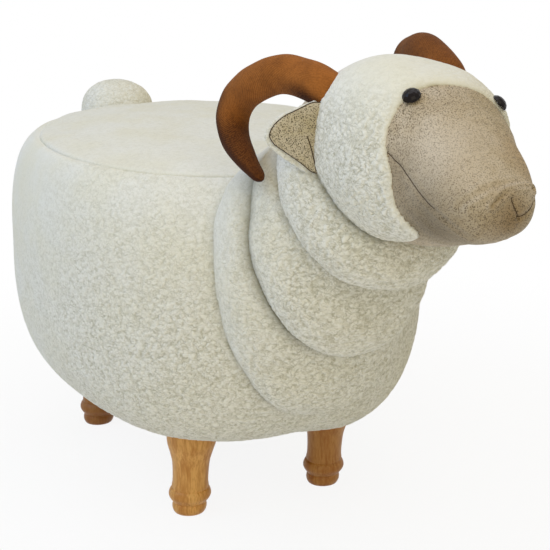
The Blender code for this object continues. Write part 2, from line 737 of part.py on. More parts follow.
def make_head_form(name, inset, finish_name):
    """A closed form of the head, drawn in by the inset."""
    rings, start, end = head_rings(inset)
    bm = loft(rings, start=start, end=end)
    bm.transform(head_place())
    return new_object(name, bm, finish_name)


def make_head():
    """The stuffed head: filling, fleece hood behind the face seam and suede face before it."""
    filling = make_head_form("head_filling", HOOD_THICKNESS, "stuffing")
    room = grown(filling, GAP)
    hood = make_head_form("head_hood", 0, "fleece")
    face = make_head_form("face_cover", HOOD_THICKNESS - FACE_THICKNESS, "suede")
    reach = HEAD_LENGTH
    lean = Matrix.Rotation(FACE_SEAM_TURN, 4, "Z") @ Matrix.Rotation(FACE_SEAM_LEAN, 4, "Y")
    place = Matrix.Translation((FACE_SEAM, 0, HEAD_HEIGHT)) @ lean
    front = block((-GAP / 2, -reach, -reach), (reach, reach, reach))
    back = block((-reach, -reach, -reach), (GAP / 2, reach, reach))
    for bm in (front, back):
        bm.transform(place)
    cut(hood, hide_cutter(new_object("hood_front_cutter", front, "plastic")))
    cut(face, hide_cutter(new_object("face_back_cutter", back, "plastic")))
    cut(hood, room)
    cut(face, room)
    return filling, hood, face


def eye_seat(hand):
    """Point on the face and outward direction of an eye, in the head's own axes."""
    share = (EYE_STATION - HEAD_BACK) / HEAD_LENGTH
    before = [row for row in HEAD_SHARES if row[0] <= share][-1]
    after = [row for row in HEAD_SHARES if row[0] > share][0]
    mix = (share - before[0]) / (after[0] - before[0])
    sizes = [low + (high - low) * mix for low, high in zip(before[1:], after[1:])]
    inset = HOOD_THICKNESS - FACE_THICKNESS
    half_width = HEAD_WIDTH * sizes[0] - inset
    half_depth = HEAD_DEPTH * sizes[1] - inset
    c, s = math.cos(EYE_ANGLE), math.sin(EYE_ANGLE)
    reach = ((c / half_width) ** HEAD_POWER + (s / half_depth) ** HEAD_POWER) ** (-1 / HEAD_POWER)
    point = Vector((EYE_STATION, hand * reach * c, reach * s + HEAD_DEPTH * sizes[2]))
    slope = (half_depth * (before[2] - after[2])) / ((after[0] - before[0]) * HEAD_LENGTH)
    outward = Vector((slope + s / 4, hand * c, s)).normalized()
    return point, outward


def make_eyes(filling, hood, face):
    """Domed eyes on stems at the face seam, each with its washer behind the covers."""
    for side, hand in SIDES.items():
        point, outward = eye_seat(hand)
        turn = Vector((0, 0, 1)).rotation_difference(outward).to_matrix().to_4x4()
        place = head_place() @ Matrix.Translation(point) @ turn
        seat = EYE_STEM_RADIUS / 2
        dome = [(EYE_RADIUS, seat)]
        for step in range(1, 4):
            angle = math.pi / 2 * step / 4
            dome.append((EYE_RADIUS * math.cos(angle), seat + EYE_HEIGHT * math.sin(angle)))
        profile = [(EYE_STEM_RADIUS, -EYE_STEM_LENGTH), (EYE_STEM_RADIUS, seat)] + dome
        rings = [oval(radius, radius, 2, height, SMALL_SEGMENTS) for radius, height in profile]
        bm = loft(rings, end=(0, 0, seat + EYE_HEIGHT))
        bm.transform(place)
        eye = new_object(f"eye_{side}", bm, "eye_plastic")
        washer_top = -FACE_THICKNESS - 3 * EYE_STEM_RADIUS / 2
        ring = (
            (EYE_STEM_RADIUS + GAP, washer_top - WASHER_THICKNESS), (WASHER_RADIUS, washer_top - WASHER_THICKNESS),
            (WASHER_RADIUS, washer_top), (EYE_STEM_RADIUS + GAP, washer_top),
        )
        bm = turned(ring, SMALL_SEGMENTS, closed=True)
        bm.transform(place)
        new_object(f"eye_washer_{side}", bm, "plastic")
        pocket = (
            (WASHER_RADIUS + GAP, -EYE_STEM_LENGTH - GAP), (WASHER_RADIUS + GAP, washer_top + GAP),
            (EYE_STEM_RADIUS + GAP, washer_top + GAP), (EYE_STEM_RADIUS + GAP, seat),
        )
        bm = turned(pocket, SMALL_SEGMENTS)
        bm.transform(place)
        room = hide_cutter(new_object(f"eye_pocket_{side}", bm, "plastic"))
        cut(filling, room)
        drill = turned(((EYE_STEM_RADIUS + GAP, -EYE_STEM_LENGTH), (EYE_STEM_RADIUS + GAP, EYE_HEIGHT)),
                       SMALL_SEGMENTS)
        drill.transform(place)
        hole = hide_cutter(new_object(f"eye_hole_{side}", drill, "plastic"))
        eye_room = grown(eye, GAP)
        for cover in (hood, face):
            cut(cover, hole)
            cut(cover, eye_room)


def make_horn(side, hand):
    """A stuffed horn that curls back, down and forward again."""
    root = Vector((HEAD_BACK + HORN_ROOT_ALONG, HORN_ROOT_OUT, HEAD_HEIGHT + HORN_ROOT_UP))
    path = []
    for back, up, out in HORN_PATH_SHARES:
        path.append(root + Vector((-HORN_BACK * back, HORN_OUT * out, HORN_DROP * up)))
    rings = []
    last = len(path) - 1
    for index, point in enumerate(path):
        ahead = path[min(index + 1, last)] - path[max(index - 1, 0)]
        side_way = ahead.cross(Vector((0, 1, 0))).normalized()
        flat_way = side_way.cross(ahead).normalized()
        share = (index / last) ** HORN_TAPER_POWER
        radius = HORN_RADIUS + (HORN_TIP_RADIUS - HORN_RADIUS) * share
        ring = oval(radius, radius, 2, 0, HORN_SEGMENTS)
        rings.append([point + side_way * x + flat_way * y for x, y, _ in ring])
    tip = path[-1] + (path[-1] - path[-2]).normalized() * HORN_TIP_RADIUS
    bm = loft(rings, end=tip)
    bm.transform(Matrix.Diagonal((1, hand, 1, 1)))
    lift = HORN_LEFT_LIFT if hand > 0 else 0
    middle = Matrix.Translation((0, 0, HEAD_HEIGHT))
    bm.transform(middle @ Matrix.Rotation(lift, 4, "X") @ middle.inverted())
    return new_object(f"horn_{side}", bm, "horn_suede")


def ear_plate(grow, low, high):
    """The ear's outline as a plate between two depths, its edge moved out by the growth."""
    middle_out = EAR_LENGTH / 3
    points = []
    for out, up in EAR_SHARES:
        point = Vector((EAR_LENGTH * out, EAR_HEIGHT * up))
        away = point - Vector((middle_out, 0))
        points.append(point + away.normalized() * grow)
    return loft([[(depth, x, z) for x, z in points] for depth in (low, high)])


def make_ear(side, hand):
    """A fleece ear back with a suede lining sewn on its front face."""
    front = EAR_BACK_THICKNESS / 2
    back = ear_plate(0, -front, front)
    lining = ear_plate(-EAR_RIM, front + GAP, front + GAP + EAR_LINING_THICKNESS)
    sweep = Matrix.Rotation(hand * EAR_SWEEP, 4, "Z")
    root = (HEAD_BACK + EAR_ROOT_ALONG, hand * EAR_ROOT_OUT, HEAD_HEIGHT + EAR_ROOT_UP)
    place = Matrix.Translation(root)
    made = []
    for name, bm, finish_name in (("ear_back", back, "fleece"), ("ear_lining", lining, "suede")):
        bm.transform(place @ sweep @ Matrix.Diagonal((1, hand, 1, 1)))
        made.append(new_object(f"{name}_{side}", bm, finish_name))
    return made


def make_tail():
    """The fleece ball behind the seat."""
    bm = bmesh.new()
    bmesh.ops.create_uvsphere(bm, u_segments=18, v_segments=10, radius=TAIL_RADIUS)
    bm.transform(Matrix.Translation((-BODY_FRONT - TAIL_BEHIND, 0, SEAM_HEIGHT - TAIL_SINK)))
    return new_object("tail", bm, "fleece")


def body_room():
    """A cutter of the whole upholstered body: what lies against the body is shaped by it."""
    sides = [body_ring(*row) for row in side_rows(-BODY_GAP, 8)]
    crown = SEAT_CROWN + BODY_GAP
    cap = seat_cap(-BODY_GAP, SEAM_HEIGHT + GAP, crown, 6)
    bm = loft(sides + cap[1:], end=(0, 0, SEAM_HEIGHT + GAP + crown))
    return hide_cutter(new_object("body_room", bm, "plastic"))


def centre_origin():
    """Puts the stool's origin under the middle of its box."""
    bpy.context.view_layer.update()
    graph = bpy.context.evaluated_depsgraph_get()
    low = Vector((math.inf,) * 3)
    high = Vector((-math.inf,) * 3)
    for piece in bpy.context.scene.objects:
        if piece.type != "MESH" or piece.hide_render:
            continue
        mesh = piece.evaluated_get(graph).to_mesh()
        for vert in mesh.vertices:
            low = Vector(map(min, low, vert.co))
            high = Vector(map(max, high, vert.co))
    middle = (low + high) / 2
    bpy.data.objects["stool_origin"].location = (-middle.x, -middle.y, -low.z)


def build():
    """Makes every piece and fits each to its neighbours."""
    clear_scene()
    origin = bpy.data.objects.new("stool_origin", None)
    bpy.context.scene.collection.objects.link(origin)

    cover = make_body_cover()
    make_seat_cover()
    make_seat_foam()
    foam = make_side_foam()
    base, seat = make_boards()
    make_posts(base, seat)
    board = make_neck_board()
    rail = make_neck_rail()
    make_neck_bolts(board, rail)
    make_legs(base, cover, foam)

    body = body_room()
    lower, middle, upper = make_neck()
    filling, hood, face = make_head()
    make_eyes(filling, hood, face)
    tail = make_tail()

    rooms = {piece.name: grown(piece, GAP) for piece in (lower, middle, upper, hood)}
    for piece in (lower, middle, upper, hood, tail):
        cut(piece, body)
    cut(middle, rooms["neck_roll_lower"])
    cut(upper, rooms["neck_roll_lower"])
    cut(upper, rooms["neck_roll_middle"])
    for piece in (hood, filling):
        for name in ("neck_roll_lower", "neck_roll_middle", "neck_roll_upper"):
            cut(piece, rooms[name])

    board_room = grown(board, GAP)
    for piece in (cover, foam, lower, middle, upper, filling, hood):
        cut(piece, board_room)

    for side, hand in SIDES.items():
        horn = make_horn(side, hand)
        back, lining = make_ear(side, hand)
        for piece in (horn, back, lining):
            cut(piece, rooms["head_hood"])
        cut(back, rooms["neck_roll_upper"])
    centre_origin()


build()
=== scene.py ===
"""Looks of the ram footstool: curly fleece, suede face and horns, turned oak legs.

X points forward to the head, Y to the animal's left, Z up. Shapes are made about the middle of the
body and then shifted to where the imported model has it.
"""

import logging
import math
from dataclasses import dataclass
from enum import Enum
from typing import Any, Iterable, Mapping, Sequence

import bmesh
import bpy
import numpy as np
from mathutils import Matrix, Vector
from mathutils.bvhtree import BVHTree


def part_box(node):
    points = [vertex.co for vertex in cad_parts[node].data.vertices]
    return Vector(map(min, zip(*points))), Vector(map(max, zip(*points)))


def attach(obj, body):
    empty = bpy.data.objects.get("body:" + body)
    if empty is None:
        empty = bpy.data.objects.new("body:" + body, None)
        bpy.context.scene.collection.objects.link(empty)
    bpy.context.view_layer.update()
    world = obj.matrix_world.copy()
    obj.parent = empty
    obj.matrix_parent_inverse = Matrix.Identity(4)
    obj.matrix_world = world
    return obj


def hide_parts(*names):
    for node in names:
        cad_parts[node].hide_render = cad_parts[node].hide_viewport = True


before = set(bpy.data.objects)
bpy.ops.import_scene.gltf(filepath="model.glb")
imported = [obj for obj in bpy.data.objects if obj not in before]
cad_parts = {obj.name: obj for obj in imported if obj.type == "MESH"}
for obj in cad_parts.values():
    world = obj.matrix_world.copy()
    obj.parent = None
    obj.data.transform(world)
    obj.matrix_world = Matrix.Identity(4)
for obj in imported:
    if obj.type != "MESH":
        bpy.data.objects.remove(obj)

log = logging.getLogger("footstool")

Point = tuple[float, float, float]
Colour = tuple[float, float, float]

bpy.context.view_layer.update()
BODY_MIDDLE = sum(corner.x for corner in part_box("body_cover")) / 2
DETAIL = 1.0

# What is stored on the points of a piece: its place at rest, its place in the weave, how curly the
# fleece is, which also sets its painted shade and highlight on the curls, how dark the painted
# shade near the next piece is, and how dark the piece is
REST = "rest"
WEAVE = "weave"
FLUFF = "fluff"
GAP_SHADE = "gap"
TONE = "tone"


class Side(Enum):
    """The animal's two sides, with the sign of Y."""

    RIGHT = -1
    LEFT = 1

    @property
    def word(self) -> str:
        """The side's name as the nodes have it."""
        return self.name.lower()


class End(Enum):
    """Front and rear, with the sign of X."""

    FRONT = 1
    REAR = -1

    @property
    def word(self) -> str:
        """How far from the next piece the fleece gets painted shade, and how dark that painted
        shade is between each pair of pieces and over what distance it fades
        """
        return self.name.lower()


def from_screen(red: int, green: int, blue: int) -> Colour:
    """The linear colour of a screen colour given from 0 to 255."""
    return tuple((value / 255 / 12.92) if value < 10.4 else ((value / 255 + 0.055) / 1.055) ** 2.4
                 for value in (red, green, blue))


def add_object(name: str, data: bpy.types.ID) -> bpy.types.Object:
    """Adds an object with its data to the scene."""
    made = bpy.data.objects.new(name, data)
    bpy.context.scene.collection.objects.link(made)
    return made


class Socket:
    """An output of a node that sums and products can be written with."""

    def __init__(self, graph: "Graph", link: bpy.types.NodeSocket) -> None:
        """Wraps a socket.

        Args:
            graph: The graph that new nodes go to.
            link: The output socket.
        """
        self.graph = graph
        self.link = link

    def _join(self, operation: str, other: Any, swapped: bool = False) -> "Socket":
        """One node that joins this socket with another value.

        Args:
            operation: The operation's name.
            other: A socket, a number, or a colour or vector.
            swapped: Whether the other value comes first.

        Returns:
            The node's output.
        """
        first, second = (other, self) if swapped else (self, other)
        if self.link.type == "RGBA":
            settings = {"data_type": "RGBA", "blend_type": operation}
            return self.graph.node("ShaderNodeMix", settings, {0: 1.0, 6: first, 7: second})[2]
        kind = "ShaderNodeVectorMath" if self.link.type == "VECTOR" else "ShaderNodeMath"
        return self.graph.node(kind, {"operation": operation}, {0: first, 1: second})[0]

    def _alone(self, operation: str) -> "Socket":
        """What a Math node makes of this number."""
        return self.graph.node("ShaderNodeMath", {"operation": operation}, {0: self})[0]

    def _measure(self, operation: str, other: Sequence[float]) -> "Socket":
        """The number that a Vector Math node makes of this vector and another."""
        inputs = {0: self, 1: tuple(other)}
        return self.graph.node("ShaderNodeVectorMath", {"operation": operation}, inputs)["Value"]

    def __add__(self, other: Any) -> "Socket":
        """This plus the other."""
        return self._join("ADD", other)

    def __radd__(self, other: Any) -> "Socket":
        """The other plus this."""
        return self._join("ADD", other, True)

    def __sub__(self, other: Any) -> "Socket":
        """This less the other."""
        return self._join("SUBTRACT", other)

    def __rsub__(self, other: Any) -> "Socket":
        """The other less this."""
        return self._join("SUBTRACT", other, True)

    def __mul__(self, other: Any) -> "Socket":
        """This times the other."""
        return self._join("MULTIPLY", other)

    def __rmul__(self, other: Any) -> "Socket":
        """The other times this."""
        return self._join("MULTIPLY", other, True)

    def least(self, other: Any) -> "Socket":
        """The smaller of this and the other."""
        return self._join("MINIMUM", other)

    def ramp(self, low: float, high: float, start: float = 0.0, end: float = 1.0) -> "Socket":
        """A soft step.

        Args:
            low: The value at which the step starts.
            high: The value at which it ends.
            start: What comes out at low.
            end: What comes out at high.

        Returns:
            The stepped value.
        """
        settings = {"interpolation_type": "SMOOTHSTEP"}
        inputs = {"Value": self, "From Min": low, "From Max": high, "To Min": start, "To Max": end}
        return self.graph.node("ShaderNodeMapRange", settings, inputs)["Result"]

    def away(self, value: float) -> "Socket":
        """How far this is from a value."""
        return (self - value)._alone("ABSOLUTE")

    def sine(self) -> "Socket":
        """The sine of this."""
        return self._alone("SINE")

    def reach(self, point: Sequence[float]) -> "Socket":
        """The distance of this vector from a point."""
        return self._measure("DISTANCE", point)

    def along(self, direction: Sequence[float]) -> "Socket":
        """How far this vector reaches along a direction."""
        return self._measure("DOT_PRODUCT", direction)


class Node:
    """A node whose outputs are taken by name or number."""

    def __init__(self, graph: "Graph", made: bpy.types.Node) -> None:
        """Wraps a node.

        Args:
            graph: The node's graph.
            made: The node.
        """
        self.graph = graph
        self.made = made

    def __getitem__(self, key: str | int) -> Socket:
        """The output of that name or number."""
        return Socket(self.graph, self.made.outputs[key])


class Graph:
    """Makes the nodes of one node tree."""

    def __init__(self, tree: bpy.types.NodeTree) -> None:
        """Starts with an empty tree.

        Args:
            tree: The tree to fill.
        """
        self.tree = tree
        tree.nodes.clear()

    def node(self, kind: str, settings: Mapping[str, Any] | None = None,
             inputs: Mapping[str | int, Any] | None = None) -> Node:
        """Makes a node.

        Args:
            kind: The node's type.
            settings: Its own settings, which are set first.
            inputs: A value, or a socket to link, for each input by name or number.

        Returns:
            The node.
        """
        made = self.tree.nodes.new(kind)
        for name, value in (settings or {}).items():
            setattr(made, name, value)
        for key, value in (inputs or {}).items():
            entry = made.inputs[key]
            if isinstance(value, Socket):
                self.tree.links.new(value.link, entry)
            elif entry.type == "RGBA":
                entry.default_value = (*value, 1.0)
            else:
                entry.default_value = value
        return Node(self, made)

    def blend(self, share: Socket | float, first: Any, second: Any) -> Socket:
        """A colour between two.

        Args:
            share: How far towards the second, from 0 to 1.
            first: A colour or a socket.
            second: A colour or a socket.

        Returns:
            The mixed colour.
        """
        return self.node("ShaderNodeMix", {"data_type": "RGBA"}, {0: share, 6: first, 7: second})[2]

    def noise(self, place: Socket, size: float, detail: float = 2.0, roughness: float = 0.5,
              output: str = "Fac") -> Socket:
        """Cloudy noise.

        Args:
            place: Where to take it.
            size: The size of its patches in metres.
            detail: How many finer layers it has.
            roughness: How strong those are.
            output: Fac for one number, or Color for three.

        Returns:
            The noise, from 0 to 1.
        """
        inputs = {"Vector": place, "Scale": 1 / size, "Detail": detail, "Roughness": roughness}
        return self.node("ShaderNodeTexNoise", {"noise_dimensions": "3D"}, inputs)[output]

    def cells(self, place: Socket, size: float) -> Socket:
        """How far each place is from the middle of its cell.

        Args:
            place: Where to take it.
            size: The size of the cells in metres.

        Returns:
            The distance, as a share of the size.
        """
        inputs = {"Vector": place, "Scale": 1 / size}
        return self.node("ShaderNodeTexVoronoi", {"feature": "F1"}, inputs)["Distance"]


@dataclass(frozen=True)
class Curls:
    """The relief of curly fleece.

    Args:
        size: The size of a curl.
        rise: How far a curl stands up.
        swirl: How far the curls' outlines wander.
        squash: How much finer the curls are along each axis.
    """

    size: float = 0.0034
    rise: float = 0.0008
    swirl: float = 0.0020
    squash: Point = (0.8, 0.8, 1.2)

    def wandered(self, graph: Graph, rest: Socket) -> Socket:
        """Places moved about, so that cells taken there have curly outlines.

        Args:
            graph: The graph to build in.
            rest: The places on the piece.

        Returns:
            The moved places.
        """
        drift = graph.noise(rest, self.size * 1.3, 1.0, output="Color")
        inputs = {0: drift, 1: (0.5, 0.5, 0.5)}
        move = graph.node("ShaderNodeVectorMath", {"operation": "SUBTRACT"}, inputs)[0]
        return (rest + move * ((2 * self.swirl,) * 3)) * self.squash

    def domes(self, graph: Graph, rest: Socket) -> Socket:
        """How full the curls are: 0 deep between them and 1 on top.

        Args:
            graph: The graph to build in.
            rest: The places on the piece.

        Returns:
            The fullness.
        """
        return graph.cells(self.wandered(graph, rest), self.size).ramp(0.2, 0.8, 1.0, 0.0)

    def strokes(self, graph: Graph, rest: Socket) -> Socket:
        """Thin wandering lines between curls, drawn dark as painted shade: 1 in them and 0 beside
        them.

        Args:
            graph: The graph to build in.
            rest: The places on the piece.

        Returns:
            The lines.
        """
        drift = graph.noise(self.wandered(graph, rest), self.size * 0.8, 1.0)
        return drift.away(0.5).ramp(0.0, 0.11, 1.0, 0.0)

    def height(self, graph: Graph, rest: Socket) -> Socket:
        """The height of the fleece over its cloth, in metres.

        Args:
            graph: The graph to build in.
            rest: The places on the piece.

        Returns:
            The height.
        """
        patches = graph.noise(rest, self.size * 2.6)
        fine = graph.noise(rest, self.size * 0.45, 1.0)
        fullness = self.domes(graph, rest) * (patches * 0.6 + 0.5)
        return (fullness + (fine - 0.5) * 0.7) * self.rise - self.rise * 0.4

    def raise_on(self, piece: bpy.types.Object) -> None:
        """Raises the curls on a piece's mesh.

        Args:
            piece: The mesh, which has its places at rest stored on it.
        """
        tree = bpy.data.node_groups.new("curls", "GeometryNodeTree")
        for way in ("INPUT", "OUTPUT"):
            tree.interface.new_socket("Geometry", in_out=way, socket_type="NodeSocketGeometry")
        graph = Graph(tree)
        entry = graph.node("NodeGroupInput")["Geometry"]
        rest = graph.node("GeometryNodeInputNamedAttribute", {"data_type": "FLOAT_VECTOR"},
                          {"Name": REST})[0]
        normal = graph.node("GeometryNodeInputNormal")["Normal"]
        inputs = {"Geometry": entry, "Offset": normal * self.height(graph, rest)}
        moved = graph.node("GeometryNodeSetPosition", None, inputs)
        graph.node("NodeGroupOutput", None, {"Geometry": moved["Geometry"]})
        modifier = piece.modifiers.new("curls", "NODES")
        modifier.node_group = tree
        apply_all(piece)


class Paint:
    """A material's graph, closed by its main shader."""

    def __init__(self, name: str) -> None:
        """Starts an empty material.

        Args:
            name: The material's name.
        """
        self.material = bpy.data.materials.new(name)
        self.material.use_nodes = True
        self.graph = Graph(self.material.node_tree)

    def attribute(self, name: str) -> Socket:
        """A vector stored on the mesh."""
        return self.graph.node("ShaderNodeAttribute", {"attribute_name": name})["Vector"]

    def number(self, name: str) -> Socket:
        """A number stored on the mesh."""
        return self.graph.node("ShaderNodeAttribute", {"attribute_name": name})["Fac"]

    def place(self) -> Socket:
        """Where a point is, in metres."""
        return self.graph.node("ShaderNodeTexCoord")["Object"]

    def bump(self, height: Socket, distance: float, strength: float = 1.0) -> Socket:
        """A normal tipped by a height.

        Args:
            height: The height, from 0 to 1.
            distance: What 1 stands for, in metres.
            strength: How much of it shows.

        Returns:
            The normal.
        """
        inputs = {"Height": height, "Distance": distance, "Strength": strength}
        return self.graph.node("ShaderNodeBump", None, inputs)["Normal"]

    def close(self, inputs: Mapping[str, Any]) -> bpy.types.Material:
        """Adds the main shader.

        Args:
            inputs: Its inputs.

        Returns:
            The finished material.
        """
        shader = self.graph.node("ShaderNodeBsdfPrincipled", None, inputs)
        self.graph.node("ShaderNodeOutputMaterial", None, {"Surface": shader["BSDF"]})
        return self.material


@dataclass(frozen=True)
class Fleece:
    """Curly fleece.

    Args:
        name: The material's name.
        light: The colour of the smooth fleece.
        bright: The painted highlight colour that the curls' tops drift to where the fleece is
            curly.
        warm: The colour that patches of it drift to.
        crack: The painted shade colour down between the curls.
        deep: The painted shade colour down between two pieces.
        patch: The size of its warmer patches.
        stretch: The size of the places where lines show more or less.
        fuzz: The size of its finest fuzz.
        curls: The relief.
    """

    name: str = "fleece"
    light: Colour = from_screen(234, 233, 223)
    bright: Colour = from_screen(250, 248, 238)
    warm: Colour = from_screen(231, 228, 210)
    crack: Colour = from_screen(165, 160, 132)
    deep: Colour = from_screen(96, 92, 62)
    patch: float = 0.05
    stretch: float = 0.006
    fuzz: float = 0.0012
    curls: Curls = Curls()

    def material(self) -> bpy.types.Material:
        """Builds the material."""
        paint = Paint(self.name)
        graph = paint.graph
        rest = paint.attribute(REST)
        domes = self.curls.domes(graph, rest)
        patches = graph.noise(rest, self.patch).ramp(0.35, 0.7)
        fluff = paint.number(FLUFF)
        # Painted highlight on the curly places
        tops = graph.blend(fluff * 0.6, graph.blend(patches, self.light, self.warm), self.bright)
        # Painted shade between the curls and along thin wandering lines among them, where the
        # fleece is curly
        stretches = graph.noise(rest, self.stretch, 1.0).ramp(0.3, 0.6, 0.15, 0.45)
        lines = self.curls.strokes(graph, rest) * stretches
        base = graph.blend((lines + domes.ramp(0.0, 0.6, 0.30, 0.0)) * fluff, tops, self.crack)
        fuzz = graph.noise(rest, self.fuzz, roughness=0.7)
        shade = graph.blend(fuzz.ramp(0.3, 0.7, 0.08, 0.0) * fluff, base, self.crack)
        # Painted shade where the fleece lies near the next piece, weaker where it is smooth
        shade = graph.blend(paint.number(GAP_SHADE) * (fluff * 0.6 + 0.4), shade, self.deep)
        normal = paint.bump((domes * 0.8 - lines * 0.8 + fuzz * 0.3) * fluff, 0.0010, 0.8)
        return paint.close({"Base Color": shade, "Roughness": 0.95, "Sheen Weight": 0.25,
                            "Sheen Roughness": 0.6, "Specular IOR Level": 0.1, "Normal": normal})


@dataclass(frozen=True)
class Patch:
    """A place where a cloth is given another colour, partly its own and partly painted light and
    shade.

    Args:
        colour: The colour.
        place: The patch's middle, about the middle of the body.
        reach: How far it reaches.
        share: How much of it shows in its middle.
    """

    colour: Colour
    place: Point
    reach: float
    share: float


@dataclass(frozen=True)
class Suede:
    """Short, brushed suede cloth with a fine dark speckle.

    Args:
        name: The material's name.
        base: Its main colour.
        light: The colour where the nap is brushed flat.
        dark: The colour of its speckle.
        speck: The distance from speck to speck.
        calm: The place round which there is less speckle: a painted highlight on the lit cheek.
        patches: Where its colour drifts, partly its own colour and partly painted light and shade.
        brushed: The size of the places where the nap lies the same way.
    """

    name: str
    base: Colour
    light: Colour
    dark: Colour
    speck: float
    calm: Point = (0.0, 0.0, 0.0)
    patches: tuple[Patch, ...] = ()
    brushed: float = 0.022

    def material(self) -> bpy.types.Material:
        """Builds the material."""
        paint = Paint(self.name)
        graph = paint.graph
        rest = paint.attribute(REST)
        cloud = graph.noise(rest, self.brushed, 3.0, 0.6)
        nap = graph.blend(cloud.ramp(0.35, 0.65), self.base, self.light)
        # Patches of its own colour and of painted highlight and shade
        for patch in self.patches:
            share = rest.reach(patch.place).ramp(0.0, patch.reach, patch.share, 0.0)
            nap = graph.blend(share, nap, patch.colour)
        dots = graph.cells(rest, self.speck).ramp(0.28, 0.55, 1.0, 0.0)
        spots = dots * graph.noise(rest, self.speck * 2.2).ramp(0.35, 0.62, 0.4, 1.0)
        # Painted highlight: less speckle round the lit cheek
        spots = spots * rest.reach(self.calm).ramp(0.01, 0.07, 0.5, 1.0)
        base = graph.blend(spots, nap, self.dark)
        normal = paint.bump(spots * -0.6 + cloud * 0.5, 0.0005, 0.6)
        return paint.close({"Base Color": base, "Roughness": 0.8, "Sheen Weight": 0.15,
                            "Sheen Roughness": 0.5, "Specular IOR Level": 0.2, "Normal": normal})


@dataclass(frozen=True)
class Twill:
    """Brushed cloth with fine slanting ribs.

    Args:
        name: The material's name.
        base: Its main colour.
        dark: The colour between the ribs, in its patches, of the painted shade in its bends and
            where the tone stored on it is 1.
        rib: The distance from rib to rib.
        slant: The way from one rib to the next: along the horn, round it and across.
        wander: The size of the waves in the ribs.
        brushed: The size of the places where the nap lies the same way.
        speck: The size of its dark specks.
    """

    name: str
    base: Colour
    dark: Colour
    rib: float = 0.0023
    slant: Point = (0.9, 1.0, 0.0)
    wander: float = 0.006
    brushed: float = 0.016
    speck: float = 0.0014

    def material(self) -> bpy.types.Material:
        """Builds the material."""
        paint = Paint(self.name)
        graph = paint.graph
        weave = paint.attribute(WEAVE)
        rest = paint.attribute(REST)
        wander = graph.noise(rest, self.wander)
        turns = weave.along(self.slant) * (2 * math.pi / self.rib) + wander * 3.0
        ribs = turns.sine() * 0.5 + 0.5
        cloud = graph.noise(rest, self.brushed, 3.0, 0.6)
        specks = graph.noise(rest, self.speck, 1.0).ramp(0.42, 0.62)
        reach = weave.along((1.0, 0.0, 0.0))
        inside = weave.along((0.0, 0.0, 1.0))
        # Painted shade inside the first bend and outside the second one; the nap is darker towards
        # the tip
        bend = reach.ramp(0.0, 0.018) * reach.ramp(0.045, 0.09, 1.0, 0.0)
        under = inside.ramp(-0.35, 0.55) * bend
        outer = inside.ramp(-0.8, 0.6, 1.0, 0.0) * reach.ramp(0.130, 0.160)
        tip = reach.ramp(0.150, 0.185, 0.0, 0.6)
        shaded = (under + outer * 1.1 + tip + paint.number(TONE)).least(1.0)
        nap = graph.blend(cloud.ramp(0.3, 0.6, 0.75, 1.0), self.dark, self.base)
        lines = (1.0 - ribs) * reach.ramp(0.06, 0.10, 0.12, 0.60) + specks * 0.35
        base = graph.blend((shaded * 0.9 + lines * 0.5).least(0.97), nap, self.dark)
        normal = paint.bump(ribs * 0.6 + wander * 0.5, 0.0004, 0.6)
        return paint.close({"Base Color": base, "Roughness": 0.9, "Sheen Weight": 0.04,
                            "Specular IOR Level": 0.1, "Normal": normal})


@dataclass(frozen=True)
class Wood:
    """Wood with its grain along Z, or layered board.

    Args:
        name: The material's name.
        light: The colour of the early wood.
        dark: The colour of the grain lines.
        gloss: The roughness of its lacquer.
        grain: The distance between grain lines.
        deep: The colour of painted shade on a leg in shadow, where the tone stored on it is 1.
    """

    name: str
    light: Colour
    dark: Colour
    gloss: float = 0.45
    grain: float = 0.004
    deep: Colour = from_screen(124, 64, 0)

    def material(self) -> bpy.types.Material:
        """Builds the material."""
        paint = Paint(self.name)
        graph = paint.graph
        place = paint.place() * (1.0, 1.0, 0.12)
        wave = graph.noise(place, self.grain * 2.5, 3.0, 0.6)
        lines = graph.noise(place, self.grain * 0.5, roughness=0.6)
        pores = graph.noise(paint.place() * (1.0, 1.0, 0.2), self.grain * 0.3, 1.0)
        base = graph.blend((wave * 0.6 + lines * 0.4).ramp(0.38, 0.62), self.light, self.dark)
        base = graph.blend(pores.ramp(0.5, 0.66, 0.0, 0.45), base, self.dark)
        # Painted shade on the legs that stand in shadow
        base = graph.blend(paint.number(TONE), base, self.deep)
        return paint.close({"Base Color": base, "Roughness": self.gloss, "Specular IOR Level": 0.35,
                            "Normal": paint.bump(lines, 0.0003, 0.4)})


@dataclass(frozen=True)
class Plain:
    """A hidden or simple finish with a little cloud in it.

    Args:
        name: The material's name.
        base: Its colour.
        roughness: Its roughness.
        metallic: 1 for metal.
        cloud: The size of its patches.
        specular: The level of its plain reflections.
    """

    name: str
    base: Colour
    roughness: float
    metallic: float = 0.0
    cloud: float = 0.006
    specular: float = 0.5

    def material(self) -> bpy.types.Material:
        """Builds the material."""
        paint = Paint(self.name)
        graph = paint.graph
        cloud = graph.noise(paint.place(), self.cloud, 3.0)
        darker = tuple(value * 0.8 for value in self.base)
        base = graph.blend(cloud.ramp(0.35, 0.65), self.base, darker)
        return paint.close({"Base Color": base, "Roughness": self.roughness,
                            "Metallic": self.metallic, "Specular IOR Level": self.specular})


# Patches on the face, partly its own colour and partly painted light: a painted highlight on the
# near cheek and painted shade low on the face
FACE_TONES_AND_PAINTED_LIGHT = (
    Patch(from_screen(212, 200, 182), (0.452, -0.030, 0.410), 0.040, 0.7),
    Patch(from_screen(176, 158, 122), (0.428, 0.030, 0.430), 0.040, 0.7),
    Patch(from_screen(158, 144, 122), (0.425, -0.056, 0.392), 0.032, 0.7),
    Patch(from_screen(124, 111, 88), (0.455, -0.045, 0.350), 0.060, 1.0),
    Patch(from_screen(146, 124, 92), (0.489, 0.003, 0.364), 0.030, 1.0),
    Patch(from_screen(172, 142, 94), (0.462, 0.036, 0.400), 0.036, 0.8),
)


